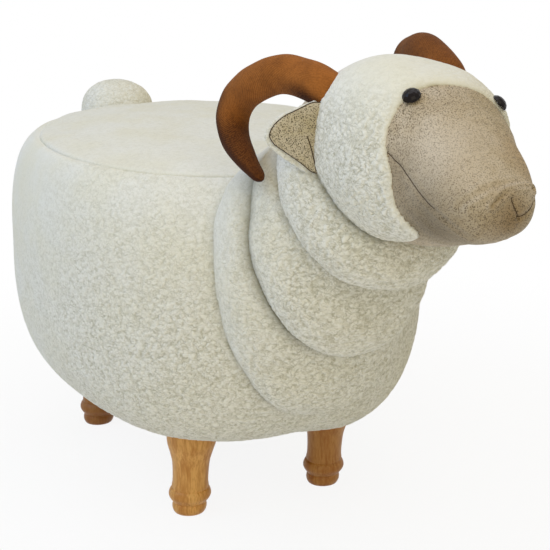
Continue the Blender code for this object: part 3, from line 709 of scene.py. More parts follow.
class Wardrobe:
    """Every finish, each built on first use."""

    def __init__(self) -> None:
        """Lists the finishes."""
        listed = (
            Fleece(),
            Suede("suede", from_screen(190, 174, 148), from_screen(202, 188, 166),
                  from_screen(82, 68, 48), 0.0010, (0.458, -0.020, 0.405), FACE_TONES_AND_PAINTED_LIGHT),
            Suede("lining", from_screen(190, 176, 144), from_screen(204, 192, 168),
                  from_screen(66, 58, 38), 0.0010),
            Twill("horn_suede", from_screen(166, 102, 46), from_screen(58, 26, 8)),
            Wood("turned_oak", from_screen(226, 172, 96), from_screen(186, 124, 52)),
            Wood("plywood", from_screen(205, 176, 130), from_screen(178, 140, 92), 0.7),
            Wood("pine", from_screen(216, 186, 140), from_screen(190, 150, 100), 0.7),
            Plain("thread", from_screen(74, 58, 40), 0.9),
            Plain("zinc_steel", (0.6, 0.6, 0.62), 0.35, 1.0),
            Plain("foam", from_screen(235, 228, 200), 0.95),
            Plain("stuffing", (0.8, 0.8, 0.8), 0.95),
            Plain("black_cloth", (0.02, 0.02, 0.02), 0.9),
            Plain("eye_plastic", (0.010, 0.006, 0.005), 0.08, specular=0.14),
            Plain("white_plastic", (0.8, 0.8, 0.78), 0.5),
        )
        self.finishes = {finish.name: finish for finish in listed}
        self.made: dict[str, bpy.types.Material] = {}

    def dress(self, piece: bpy.types.Object, name: str) -> None:
        """Gives a piece a finish.

        Args:
            piece: The piece.
            name: The finish.
        """
        if name not in self.made:
            self.made[name] = self.finishes[name].material()
        materials = piece.data.materials
        for index in range(len(materials)):
            materials[index] = self.made[name]
        if not materials:
            materials.append(self.made[name])


def apply_all(piece: bpy.types.Object) -> None:
    """Works out a piece's modifiers into its mesh.

    Args:
        piece: The piece, a mesh.
    """
    graph = bpy.context.evaluated_depsgraph_get()
    mesh = bpy.data.meshes.new_from_object(piece.evaluated_get(graph))
    piece.modifiers.clear()
    old = piece.data
    piece.data = mesh
    bpy.data.meshes.remove(old)


# How finely an oval is measured before its points are spaced evenly
OVAL_STEPS = 1440


def unit(values: np.ndarray) -> np.ndarray:
    """The values, held between 0 and 1."""
    return np.clip(values, 0, 1)


def bell(values: np.ndarray) -> np.ndarray:
    """1 where a value is 0, and less and less on both sides."""
    return np.exp(-values ** 2)


def level(outline: np.ndarray, height: float) -> np.ndarray:
    """A flat outline as points at one height."""
    return np.column_stack((outline, np.full(len(outline), height)))


def upright(outline: np.ndarray, along: float) -> np.ndarray:
    """An outline of sides and heights as points at one place along X."""
    return np.column_stack((np.full(len(outline), along), outline))


def reaches(points: np.ndarray) -> np.ndarray:
    """How far along a line of points each of them is."""
    steps = np.linalg.norm(np.diff(points, axis=0), axis=1)
    return np.concatenate(([0.0], np.cumsum(steps)))


def taken(wanted: np.ndarray, knots: np.ndarray, values: np.ndarray) -> np.ndarray:
    """Rows of values at the wanted places, straight from knot to knot."""
    return np.stack([np.interp(wanted, knots, column) for column in values.T], axis=1)


def softened(line: np.ndarray, times: int = 1) -> np.ndarray:
    """A line of points, smoothed between its ends."""
    line = line.copy()
    for _ in range(times):
        line[1:-1] = (line[:-2] + 2 * line[1:-1] + line[2:]) / 4
    return line


def even_oval(half_x: float, half_y: float, power: float, count: int) -> np.ndarray:
    """A superellipse of evenly spaced points.

    Args:
        half_x: Its half length.
        half_y: Its half width.
        power: Its power, 2 for an ellipse.
        count: The number of points.

    Returns:
        The points, as count rows of x and y.
    """
    angle = np.linspace(0, 2 * math.pi, OVAL_STEPS + 1)
    c, s = np.cos(angle), np.sin(angle)
    fine = np.stack((half_x * np.sign(c) * np.abs(c) ** (2 / power),
                     half_y * np.sign(s) * np.abs(s) ** (2 / power)), axis=1)
    return evenly(fine, count + 1)[:-1]


def evenly(points: np.ndarray, count: int) -> np.ndarray:
    """Points spaced evenly along a line of points.

    Args:
        points: The line, one point a row.
        count: The number of points wanted.

    Returns:
        The evenly spaced points.
    """
    reach = reaches(points)
    return taken(np.linspace(0, reach[-1], count), reach, points)


def through(knots: np.ndarray, values: np.ndarray, wanted: np.ndarray) -> np.ndarray:
    """A smooth curve through given values.

    Args:
        knots: Where the values are given, rising.
        values: The values, one row a knot.
        wanted: Where the curve is taken.

    Returns:
        The curve's values, one row for each wanted place.
    """
    slopes = np.gradient(values, knots, axis=0)
    index = np.clip(np.searchsorted(knots, wanted, side="right") - 1, 0, len(knots) - 2)
    width = (knots[index + 1] - knots[index])[:, None]
    t = ((wanted - knots[index])[:, None]) / width
    return ((1 + 2 * t) * (1 - t) ** 2 * values[index]
            + t * (1 - t) ** 2 * width * slopes[index]
            + t ** 2 * (3 - 2 * t) * values[index + 1]
            + t ** 2 * (t - 1) * width * slopes[index + 1])


def curve(points: Sequence[Sequence[float]], count: int) -> np.ndarray:
    """A smooth line of evenly spaced points through given ones.

    Args:
        points: The given points.
        count: The number of points wanted.

    Returns:
        The line.
    """
    given = np.array(points, float)
    knots = reaches(given)
    return evenly(through(knots, given, np.linspace(0, knots[-1], 8 * count)), count)


def quarter(count: int, power: float) -> np.ndarray:
    """A quarter superellipse from (0, 0), upright, to (1, 1), level.

    Args:
        count: The number of points.
        power: Its power.

    Returns:
        The points: how far in, and how far along.
    """
    angle = np.linspace(0, math.pi / 2, count)
    return np.stack((1 - np.cos(angle) ** (2 / power), np.sin(angle) ** (2 / power)), axis=1)


def loft(rings: np.ndarray, start: Sequence[float] | None = None,
         end: Sequence[float] | None = None, closed: bool = False) -> tuple[np.ndarray, list]:
    """A surface through rings.

    Args:
        rings: The rings, shaped (rings, points, 3).
        start: The point that closes the first ring.
        end: The point that closes the last ring.
        closed: Whether the last ring joins the first.

    Returns:
        The points and faces.
    """
    rows, count = rings.shape[:2]
    last = rows if closed else rows - 1
    low = np.arange(last)[:, None] * count + np.arange(count)[None, :]
    next_low = np.arange(last)[:, None] * count + (np.arange(count)[None, :] + 1) % count
    up = (low + count) % (rows * count)
    next_up = (next_low + count) % (rows * count)
    faces = np.stack((low, next_low, next_up, up), axis=-1).reshape(-1, 4).tolist()
    points = rings.reshape(-1, 3)
    for tip, row in ((start, 0), (end, rows - 1)):
        if tip is not None:
            here = len(points)
            points = np.vstack((points, np.array(tip, float)[None]))
            faces += [(row * count + i, row * count + (i + 1) % count, here) for i in range(count)]
    return points, faces


def sweep(line: np.ndarray, radius: np.ndarray, angle: np.ndarray,
          aside: Sequence[float]) -> np.ndarray:
    """Rings round a line.

    Args:
        line: The line's points.
        radius: The radius at each.
        angle: The angles of a ring's points.
        aside: A direction that the line never runs in.

    Returns:
        The rings.
    """
    ahead = np.gradient(line, axis=0)
    ahead /= np.linalg.norm(ahead, axis=1)[:, None]
    across = np.cross(ahead, aside)
    across /= np.linalg.norm(across, axis=1)[:, None]
    flat = np.cross(across, ahead)
    circle = (np.cos(angle)[None, :, None] * across[:, None, :]
              + np.sin(angle)[None, :, None] * flat[:, None, :])
    return line[:, None, :] + circle * radius[:, None, None]


class Skin:
    """A mesh on its way from a plain form to a dressed piece."""

    def __init__(self, name: str, points: np.ndarray, faces: Iterable[Sequence[int]]) -> None:
        """Makes the mesh, facing outwards.

        Args:
            name: The piece's name.
            points: Its points, about the middle of the body.
            faces: Its faces.
        """
        mesh = bpy.data.meshes.new(name)
        mesh.from_pydata(np.asarray(points).tolist(), [], list(faces))
        bm = bmesh.new()
        bm.from_mesh(mesh)
        bmesh.ops.recalc_face_normals(bm, faces=bm.faces)
        bm.to_mesh(mesh)
        bm.free()
        self.piece = add_object(name, mesh)

    def _read(self, rows: Any, name: str) -> np.ndarray:
        """One vector for each point, from a list of the mesh's."""
        found = np.zeros(len(self.piece.data.vertices) * 3, np.float32)
        rows.foreach_get(name, found)
        return found.reshape(-1, 3).astype(float)

    @property
    def points(self) -> np.ndarray:
        """The mesh's points."""
        return self._read(self.piece.data.vertices, "co")

    @points.setter
    def points(self, moved: np.ndarray) -> None:
        """Puts the points in new places."""
        self.piece.data.vertices.foreach_set("co", moved.astype(np.float32).ravel())
        self.piece.data.update()

    @property
    def normals(self) -> np.ndarray:
        """The way out at each point."""
        return self._read(self.piece.data.vertex_normals, "vector")

    def remesh(self, spacing: float, smoothing: int = 4) -> "Skin":
        """Gives the form an even mesh.

        Args:
            spacing: The distance between points.
            smoothing: How many times it is smoothed after.

        Returns:
            This skin.
        """
        modifier = self.piece.modifiers.new("even", "REMESH")
        modifier.mode = "VOXEL"
        modifier.voxel_size = spacing * DETAIL
        smooth = self.piece.modifiers.new("smooth", "SMOOTH")
        smooth.factor = 0.5
        smooth.iterations = smoothing
        apply_all(self.piece)
        return self

    def surface(self) -> BVHTree:
        """The mesh as a surface that points can be laid on."""
        mesh = self.piece.data
        return BVHTree.FromPolygons([vert.co.copy() for vert in mesh.vertices],
                                    [list(face.vertices) for face in mesh.polygons])

    def turn(self, matrix: Matrix) -> "Skin":
        """Turns and moves the form."""
        self.piece.data.transform(matrix)
        return self

    def swell(self, heights: np.ndarray) -> None:
        """Moves each point out by its height."""
        self.points = self.points + self.normals * heights[:, None]

    def cut(self, point: Sequence[float], outward: Sequence[float], lip: float) -> None:
        """Cuts the form off at a plane, and turns its edge in.

        Args:
            point: A point on the plane.
            outward: The plane's direction, to the side that goes.
            lip: How deep the edge turns in.
        """
        bm = bmesh.new()
        bm.from_mesh(self.piece.data)
        found = bmesh.ops.bisect_plane(bm, geom=[*bm.verts, *bm.edges, *bm.faces],
                                       plane_co=point, plane_no=outward, clear_outer=True)
        rim = [item for item in found["geom_cut"] if isinstance(item, bmesh.types.BMEdge)]
        made = bmesh.ops.extrude_edge_only(bm, edges=rim)["geom"]
        verts = [item for item in made if isinstance(item, bmesh.types.BMVert)]
        middle = sum((vert.co for vert in verts), Vector()) / len(verts)
        for vert in verts:
            vert.co += (middle - vert.co).normalized() * lip
        bmesh.ops.holes_fill(bm, edges=[e for e in bm.edges if e.is_boundary], sides=0)
        bmesh.ops.recalc_face_normals(bm, faces=bm.faces)
        bm.to_mesh(self.piece.data)
        bm.free()

    def remember(self, name: str = REST, values: np.ndarray | None = None) -> "Skin":
        """Stores a vector on each point.

        Args:
            name: The attribute's name.
            values: The vectors, or None for the points' places.

        Returns:
            This skin.
        """
        stored = self.piece.data.attributes.new(name, "FLOAT_VECTOR", "POINT")
        vectors = self.points if values is None else values
        stored.data.foreach_set("vector", vectors.astype(np.float32).ravel())
        return self

    def note(self, name: str, values: np.ndarray) -> None:
        """Stores a number on each point, over any that is there."""
        kept = self.piece.data.attributes
        stored = kept.get(name) or kept.new(name, "FLOAT", "POINT")
        stored.data.foreach_set("value", values.astype(np.float32))

    def settle(self, wardrobe: Wardrobe, finish: str, *nodes: str) -> bpy.types.Object:
        """Puts the piece on the stool, dressed.

        Args:
            wardrobe: The finishes.
            finish: The piece's finish.
            nodes: The nodes that it stands for.

        Returns:
            The piece.
        """
        self.piece.data.shade_smooth()
        self.piece.data.transform(Matrix.Translation((BODY_MIDDLE, 0, 0)))
        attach(self.piece, "root")
        if nodes:
            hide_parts(*nodes)
        wardrobe.dress(self.piece, finish)
        log.info("%s: %d points, stands for %s", self.piece.name,
                 len(self.piece.data.vertices), ", ".join(nodes) or "nothing")
        return self.piece


# How many waves are added up, and what their sum is divided by
WAVES = 7
WAVES_TOGETHER = 3.2


def spread(points: np.ndarray, size: float, salt: int) -> np.ndarray:
    """Smooth random values from -1 to 1.

    Args:
        points: Where they are taken.
        size: The size of their waves.
        salt: A number that picks the pattern.

    Returns:
        One value a point.
    """
    rng = np.random.default_rng(salt)
    total = np.zeros(len(points))
    for _ in range(WAVES):
        direction = rng.normal(size=points.shape[1])
        direction /= np.linalg.norm(direction)
        wave = 2 * math.pi / (size * rng.uniform(0.75, 1.6))
        total += np.sin(points @ direction * wave + rng.uniform(0, 2 * math.pi))
    return total / WAVES_TOGETHER


# How far from the next piece the fleece is shaded, and how dark it is between each pair of pieces
# and over what distance that fades
GAP_REACH = 0.010
GAP_OTHERS = (0.4, 0.003)
GAP_SHARES = {
    frozenset(("body_fleece", "seat_fleece")): (0.0, 0.003),
    frozenset(("body_fleece", "neck_fleece_lower")): (0.40, 0.0025),
    frozenset(("neck_fleece_lower", "neck_fleece_middle")): (1.0, 0.0042),
    frozenset(("neck_fleece_middle", "neck_fleece_upper")): (1.0, 0.0038),
    frozenset(("neck_fleece_upper", "head_fleece")): (0.7, 0.0032),
}


class Upholstery:
    """Makes curly fleece of padded pieces, and paints shade where they meet."""

    def __init__(self, wardrobe: Wardrobe) -> None:
        """Starts with no pieces.

        Args:
            wardrobe: The finishes.
        """
        self.wardrobe = wardrobe
        self.made: list[Skin] = []

    def finish(self, skin: Skin, node: str, fluff: np.ndarray | float,
               outer: slice = slice(None)) -> None:
        """Raises the curls on a piece and puts it on the stool, padded.

        Args:
            skin: The piece's skin, with its places at rest stored.
            node: The node that it stands for.
            fluff: How curly it is at each point outside, and how strong its painted shade and
                highlight are.
            outer: Which points lie outside. The others stay smooth.
        """
        before = skin.points
        self.wardrobe.finishes["fleece"].curls.raise_on(skin.piece)
        curly = np.zeros(len(before))
        curly[outer] = fluff
        skin.points = before + (skin.points - before) * curly[:, None]
        skin.note(FLUFF, curly)
        skin.settle(self.wardrobe, "fleece", node)
        self.made.append(skin)

    def paint_gap_shade(self) -> None:
        """Stores on each piece a painted shade, darker where its points lie near its neighbours."""
        surfaces = {skin.piece.name: skin.surface() for skin in self.made}
        boxes = {skin.piece.name: (skin.points.min(axis=0) - GAP_REACH,
                                   skin.points.max(axis=0) + GAP_REACH) for skin in self.made}
        for skin in self.made:
            places = skin.points
            shade = np.zeros(len(places))
            for name, surface in surfaces.items():
                share, width = GAP_SHARES.get(frozenset((name, skin.piece.name)), GAP_OTHERS)
                if name == skin.piece.name or not share:
                    continue
                low, high = boxes[name]
                for index in np.flatnonzero(((places > low) & (places < high)).all(axis=1)):
                    found = surface.find_nearest(Vector(places[index]), GAP_REACH)
                    if found[0] is not None:
                        shade[index] = max(shade[index], share * math.exp(-found[3] / width))
            skin.note(GAP_SHADE, shade)


@dataclass
class Body:
    """The fleece-covered body with its sewn-in seat panel.

    Args:
        length: Its greatest length.
        width: Its greatest width.
        plan_power: The power of its plan.
        widest: The height of its widest place.
        belly: The height of its underside.
        tuck: How far the underside draws in.
        belly_power: The power of the belly's curve.
        seam_height: The height of the seat seam.
        seam_length: The seam's length.
        seam_width: The seam's width.
        seam_power: The power of the seam's plan.
        shoulder: How far below the seam the side starts to draw in.
        crown: How far the seat rises over its seam.
        crown_power: The power of the crown's curve.
        thickness: The thickness of the fleece cloth.
        opening: The half sizes of the opening under the belly.
        cloth: The thickness of the cloth under the belly.
        cloth_edge: How much of that cloth lies under the cover's edge.
        sag: How far that cloth sags in its middle.
        spacing: The distance between mesh points.
        ridge: How far the cloth rises beside the seam.
        lifts: How far the underside is lifted, by the angle round from the front in degrees.
        tucks: How far in and how far down the cloth goes, step by step, inside the seam.
        clear: How far below the seam the cover's inside ends.
        around: The length of the mesh round the side.
        seat_share: The number of the seat's mesh lines, as a share of its length.
        under_seat: The rows of the seat's underside, as shares of its rim and heights over it.
        under_middle: The height of its underside's middle over the seam.
    """

    length: float = 0.4666
    width: float = 0.3666
    plan_power: float = 2.37
    widest: float = 0.217
    belly: float = 0.0847
    tuck: float = 0.0847
    belly_power: float = 2.5
    seam_height: float = 0.3392
    seam_length: float = 0.3842
    seam_width: float = 0.3160
    seam_power: float = 2.09
    shoulder: float = 0.091
    crown: float = 0.0167
    crown_power: float = 1.9
    thickness: float = 0.005
    opening: tuple[float, float] = (0.075, 0.052)
    cloth: float = 0.0008
    cloth_edge: float = 0.008
    sag: float = 0.0015
    spacing: float = 0.0018
    ridge: float = 0.0009
    lifts: tuple[tuple[float, float], ...] = (
        (-125, 0.0), (-107, 0.0025), (-82, 0.0035), (-68, 0.002), (-50, 0.0008), (-40, 0.0015),
        (-27, 0.0042), (-8, 0.0045), (0, 0.0050), (9, 0.0010), (17, -0.0030), (32, -0.0042),
        (45, -0.0030), (64, 0.0),
    )
    tucks: tuple[tuple[float, float], ...] = ((0.003, 0.0012), (0.006, 0.0045), (0.008, 0.010))
    clear: float = 0.012
    around: float = 1.36
    seat_share: float = 0.86
    under_seat: tuple[tuple[float, float], ...] = (
        (0.985, -0.004), (0.955, -0.008), (0.90, 0.0), (0.6, 0.006), (0.25, 0.010),
    )
    under_middle: float = 0.0107

    def ring(self, inset: float, share: float, height: float, count: int) -> np.ndarray:
        """A level ring of the side.

        Args:
            inset: How far it lies in.
            share: 0 for the body's plan and 1 for the seam's.
            height: Its height.
            count: Its number of points.

        Returns:
            The ring's points.
        """
        half_x = (self.length + (self.seam_length - self.length) * share) / 2 - inset
        half_y = (self.width + (self.seam_width - self.width) * share) / 2 - inset
        power = self.plan_power + (self.seam_power - self.plan_power) * share
        return level(even_oval(half_x, half_y, power, count), height)

    def profile(self) -> np.ndarray:
        """Rows of inset, share and height from the belly up to the seam."""
        x, z = quarter(220, self.belly_power)[::-1].T
        drop = self.widest - self.belly
        belly = np.column_stack((self.tuck * x, 0 * x, self.widest - drop * z))
        x, z = quarter(160, 2.0).T
        start = self.seam_height - self.shoulder
        top = np.column_stack((0 * x, x, start + self.shoulder * z))
        rows = np.vstack((belly, top))
        reach = self.length / 2 + (self.seam_length - self.length) / 2 * rows[:, 1] - rows[:, 0]
        steps = reaches(np.column_stack((reach, rows[:, 2])))
        wanted = np.linspace(0, steps[-1], int(steps[-1] / (self.spacing * DETAIL)))
        return taken(wanted, steps, rows)

    def lifted(self, places: np.ndarray) -> np.ndarray:
        """Lifts the low edge of the side, and leaves the rest.

        Args:
            places: The points.

        Returns:
            The moved points.
        """
        around = np.degrees(np.arctan2(places[:, 1], places[:, 0]))
        lift = np.interp(around, *np.array(self.lifts).T)
        low = unit((0.18 - places[:, 2]) / 0.06)
        outside = unit((np.linalg.norm(places[:, :2], axis=1) - 0.12) / 0.04)
        return places + np.column_stack((0 * lift, 0 * lift, lift * low * outside))

    def build_side(self, upholstery: Upholstery) -> None:
        """Builds the side cover from the belly's opening up to the seam.

        Args:
            upholstery: The fleece work.
        """
        count = int(self.around / (self.spacing * DETAIL))
        rows = self.profile()
        outside = np.array([self.ring(*row, count) for row in rows])
        floor = []
        for share in np.linspace(0, 1, int(14 / DETAIL))[:-1]:
            half = [o + (size / 2 - self.tuck - o) * share
                    for o, size in zip(self.opening, (self.length, self.width))]
            floor.append(level(even_oval(*half, self.plan_power, count), self.belly))
        tucked = [self.ring(inset, 1.0, self.seam_height - drop, count)
                  for inset, drop in self.tucks]
        low, high = self.belly + self.thickness, self.seam_height - self.clear
        inside = [self.ring(inset + self.thickness, share, min(max(height, low), high), count)
                  for inset, share, height in rows[::-1][6::12]]
        lift = level(even_oval(*self.opening, self.plan_power, count), low)
        rings = np.array([*floor, *outside, *tucked, *inside, lift])
        skin = Skin("body_fleece", *loft(rings, closed=True))
        skin.points = self.lifted(skin.points)
        skin.remember()
        places = skin.points
        heights = np.zeros(len(places))
        first = len(floor) * count
        last = first + len(outside) * count
        side = places[first:last]
        edge = np.linalg.norm(outside[-1][:, :2], axis=1)
        inward = np.linalg.norm(side[:, :2], axis=1)
        away = np.hypot(self.seam_height - side[:, 2], np.tile(edge, len(outside)) - inward)
        ripple = 1 + 0.3 * spread(side, 0.05, 5)
        heights[first:last] = (self.ridge * bell((away - 0.006) / 0.005) * ripple
                               + 0.0010 * spread(side, 0.14, 8) * unit(away / 0.03))
        skin.swell(heights)
        # The fleece is smoother, with weaker painted shade and highlight, towards the rear, on the
        # animal's right, and towards the seat
        rear = unit((-places[:last, 0] - 0.9 * places[:last, 1] - 0.05) / 0.25)
        high = unit((places[:last, 2] - 0.20) / 0.14)
        fluff = np.clip(1 - 0.75 * rear - 0.6 * high, 0.12, 1)
        upholstery.finish(skin, "body_cover", fluff, slice(last))

    def build_seat(self, upholstery: Upholstery) -> None:
        """Builds the crowned seat panel.

        Args:
            upholstery: The fleece work.
        """
        count = int(self.seam_length * self.seat_share / (self.spacing * DETAIL))
        line = np.linspace(-1, 1, count + 1)
        u, v = np.meshgrid(line, line, indexing="ij")
        x = u * np.sqrt(1 - v ** 2 / 2)
        y = v * np.sqrt(1 - u ** 2 / 2)
        radius = unit(np.hypot(x, y))
        angle = np.arctan2(y, x)
        c, s = np.cos(angle), np.sin(angle)
        power = self.seam_power
        scale = (np.abs(c) ** power + np.abs(s) ** power) ** (-1 / power)
        plan_x = self.seam_length / 2 * radius * scale * c
        plan_y = self.seam_width / 2 * radius * scale * s
        power = self.crown_power
        height = self.seam_height + self.crown * (1 - radius ** power) ** (1 / power)
        side = count + 1
        places = np.stack((plan_x, plan_y, height), axis=-1).reshape(-1, 3)
        index = np.arange(side * side).reshape(side, side)
        faces = np.stack((index[:-1, :-1], index[1:, :-1], index[1:, 1:], index[:-1, 1:]),
                         axis=-1).reshape(-1, 4).tolist()
        row = np.concatenate((index[:-1, 0], index[-1, :-1], index[:0:-1, -1], index[0, :0:-1]))
        rim = places[row]
        for shrink, low in self.under_seat:
            new = np.arange(len(row)) + len(places)
            places = np.vstack((places, rim * (shrink, shrink, 1.0) + (0, 0, low)))
            faces += np.stack((row, np.roll(row, -1), np.roll(new, -1), new), axis=-1).tolist()
            row = new
        tip = len(places)
        places = np.vstack((places, [[0, 0, self.seam_height + self.under_middle]]))
        faces += [(a, b, tip) for a, b in zip(row.tolist(), np.roll(row, -1).tolist())]
        skin = Skin("seat_fleece", places, faces)
        skin.remember()
        top = slice(side * side)
        heights = np.zeros(len(places))
        heights[top] = (0.0008 * spread(places[top], 0.11, 3)
                        + 0.0004 * spread(places[top], 0.04, 4)
                        + 0.0012 * bell((1 - radius.ravel()) / 0.03))
        skin.swell(heights)
        upholstery.finish(skin, "seat_cover", 0.22, top)

    def build_cloth(self, wardrobe: Wardrobe) -> None:
        """Builds the thin cloth stretched under the belly.

        Args:
            wardrobe: The finishes.
        """
        half_x, half_y = (half + self.cloth_edge for half in self.opening)
        upper = self.belly - 0.0009
        lower = upper - self.cloth
        shares = (0.02, 0.3, 0.6, 0.85, 1.0)
        rings = []
        for height, share in [(upper, s) for s in shares] + [(lower, s) for s in shares[::-1]]:
            plan = even_oval(half_x * share, half_y * share, self.plan_power, 72)
            rings.append(level(plan, height - self.sag * (1 - share ** 2)))
        tips = {"start": (0, 0, upper - self.sag), "end": (0, 0, lower - self.sag)}
        skin = Skin("belly_cloth", *loft(np.array(rings), **tips))
        piece = skin.settle(wardrobe, "black_cloth", "dust_cover")
        flat = (2 * half_y, 2 * half_x)
        0.84 * flat[0] * flat[1]


@dataclass
class Roll:
    """One stuffed roll of the neck.

    Args:
        name: The roll's place.
        along: Its middle along X.
        height: Its middle's height.
        thick: Its half thickness.
        wide: Its half width.
        down: How far it reaches down.
        up: How far it reaches up.
        pitch: How far its top leans back, in degrees.
        power: The power of its roundness from front to back.
        section: The power of its outline seen from the front.
        spacing: The distance between mesh points.
    """

    name: str
    along: float
    height: float
    thick: float
    wide: float
    down: float
    up: float
    pitch: float
    power: float = 2.3
    section: float = 2.1
    spacing: float = 0.0018

    def build(self, upholstery: Upholstery) -> None:
        """Builds the roll.

        Args:
            upholstery: The fleece work.
        """
        rings = []
        for angle in np.linspace(0, math.pi, 42)[1:-1]:
            along = -math.cos(angle)
            share = (1 - abs(along) ** self.power) ** (1 / self.power)
            z, y = (even_oval(1, 1, self.section, 120) * share).T
            outline = np.column_stack((y * self.wide, np.where(z > 0, z * self.up, z * self.down)))
            rings.append(upright(outline, self.thick * along))
        tips = {"start": (-self.thick, 0, 0), "end": (self.thick, 0, 0)}
        skin = Skin(f"neck_fleece_{self.name}", *loft(np.array(rings), **tips))
        skin.turn(Matrix.Translation((self.along, 0, self.height))
                  @ Matrix.Rotation(-math.radians(self.pitch), 4, "Y"))
        skin.remesh(self.spacing)
        skin.remember()
        places = skin.points
        skin.swell(0.0011 * spread(places, 0.07, 11 + len(self.name))
                   + 0.0005 * spread(places, 0.03, 12))
        # The fleece is curlier, with stronger painted shade and highlight, towards the front and
        # below
        fluff = 0.15 + 6.0 * (places[:, 0] - 0.20) + 3.0 * (0.36 - places[:, 2])
        upholstery.finish(skin, f"neck_roll_{self.name}", np.clip(fluff, 0.25, 1.0))


NECK = (
    Roll("lower", 0.2229, 0.2912, 0.0509, 0.0948, 0.1609, 0.0887, 1),
    Roll("middle", 0.2624, 0.3099, 0.0444, 0.0809, 0.1092, 0.0894, 14),
    Roll("upper", 0.3103, 0.3516, 0.0412, 0.0760, 0.0854, 0.0866, 38),
)


@dataclass(frozen=True)
class Crease:
    """A line drawn into the face: a sewn seam or a fold.

    Args:
        name: Its name.
        points: Places along it, about the middle of the body.
        depth: How deep it is.
        width: How wide it is.
        ridge: How far the cloth rises beside it.
        thread: The radius of the dark thread in it, or 0.
        sewn: The share of its length that has thread.
    """

    name: str
    points: tuple[Point, ...]
    depth: float
    width: float
    ridge: float = 0.0
    thread: float = 0.0
    sewn: float = 1.0

    def line(self) -> np.ndarray:
        """Evenly spaced places along it."""
        return curve(self.points, 90)

    def heights(self, places: np.ndarray) -> np.ndarray:
        """How far it moves the cloth.

        Args:
            places: The points of the cloth.

        Returns:
            One height a point.
        """
        near = np.full(len(places), np.inf)
        for point in self.line():
            near = np.minimum(near, np.linalg.norm(places - point, axis=1))
        bed = -self.depth * bell(near / self.width)
        return bed + self.ridge * bell((near - 1.8 * self.width) / self.width)

    def build_thread(self, wardrobe: Wardrobe, surface: BVHTree) -> None:
        """Lays the dark thread in it.

        Args:
            wardrobe: The finishes.
            surface: The cloth that it lies in.
        """
        if self.thread:
            line = self.line()
            line = line[:int(len(line) * self.sewn)]
            lay_thread(wardrobe, f"seam_{self.name}", line, self.thread, surface)


def lay_thread(wardrobe: Wardrobe, name: str, line: np.ndarray, radius: float,
               surface: BVHTree) -> None:
    """Lays a dark thread along a line on a surface, half sunk.

    Args:
        wardrobe: The finishes.
        name: The piece's name.
        line: Places near the surface.
        radius: The thread's radius.
        surface: The surface.
    """
    laid = []
    for point in line:
        found, normal, _, _ = surface.find_nearest(Vector(point))
        laid.append(found + normal * radius * 0.25)
    places = softened(np.array(laid))
    width = np.full(len(places), radius)
    width[[0, -1]] *= 0.3
    angle = np.linspace(0, 2 * math.pi, 6, endpoint=False)
    rings = sweep(places, width, angle, (0.31, 0.83, 0.47))
    skin = Skin(name, *loft(rings, start=places[0], end=places[-1]))
    skin.remember().settle(wardrobe, "thread")


SNOUT = (
    Crease("jaw", (
        (0.4160, -0.0532, 0.4040), (0.4286, -0.0500, 0.3951), (0.4408, -0.0471, 0.3861),
        (0.4542, -0.0438, 0.3762), (0.4650, -0.0404, 0.3704), (0.4745, -0.0297, 0.3613),
        (0.4734, -0.0115, 0.3522), (0.4700, 0.0080, 0.3480),
    ), 0.0011, 0.0020, 0.0006, 0.00030, 0.5),
    Crease("nose", (
        (0.4840, 0.0015, 0.3805), (0.4868, 0.0040, 0.3746), (0.4864, 0.0088, 0.3657),
    ), 0.0012, 0.0018, 0.0003, 0.00034),
    Crease("mouth", (
        (0.4864, 0.0088, 0.3657), (0.4846, 0.0167, 0.3678), (0.4790, 0.0270, 0.3725),
    ), 0.0014, 0.0018, 0.0003, 0.00034),
    Crease("chin", (
        (0.4864, 0.0088, 0.3657), (0.4820, 0.0105, 0.3581), (0.4740, 0.0090, 0.3500),
    ), 0.0008, 0.0018),
    Crease("fold_top", (
        (0.4865, -0.0136, 0.3760), (0.4851, -0.0069, 0.3799), (0.4825, 0.0014, 0.3823),
        (0.4801, 0.0110, 0.3825), (0.4734, 0.0283, 0.3795),
    ), 0.0023, 0.0015, 0.0018),
    Crease("fold_side", (
        (0.4789, -0.0320, 0.3764), (0.4817, -0.0227, 0.3819), (0.4805, -0.0091, 0.3858),
        (0.4795, 0.0034, 0.3854), (0.4775, 0.0169, 0.3831),
    ), 0.0008, 0.0024, 0.0005),
    Crease("fold_low", (
        (0.4831, -0.0259, 0.3750), (0.4851, -0.0134, 0.3795), (0.4830, 0.0011, 0.3819),
    ), 0.0007, 0.0020, 0.0004),
)


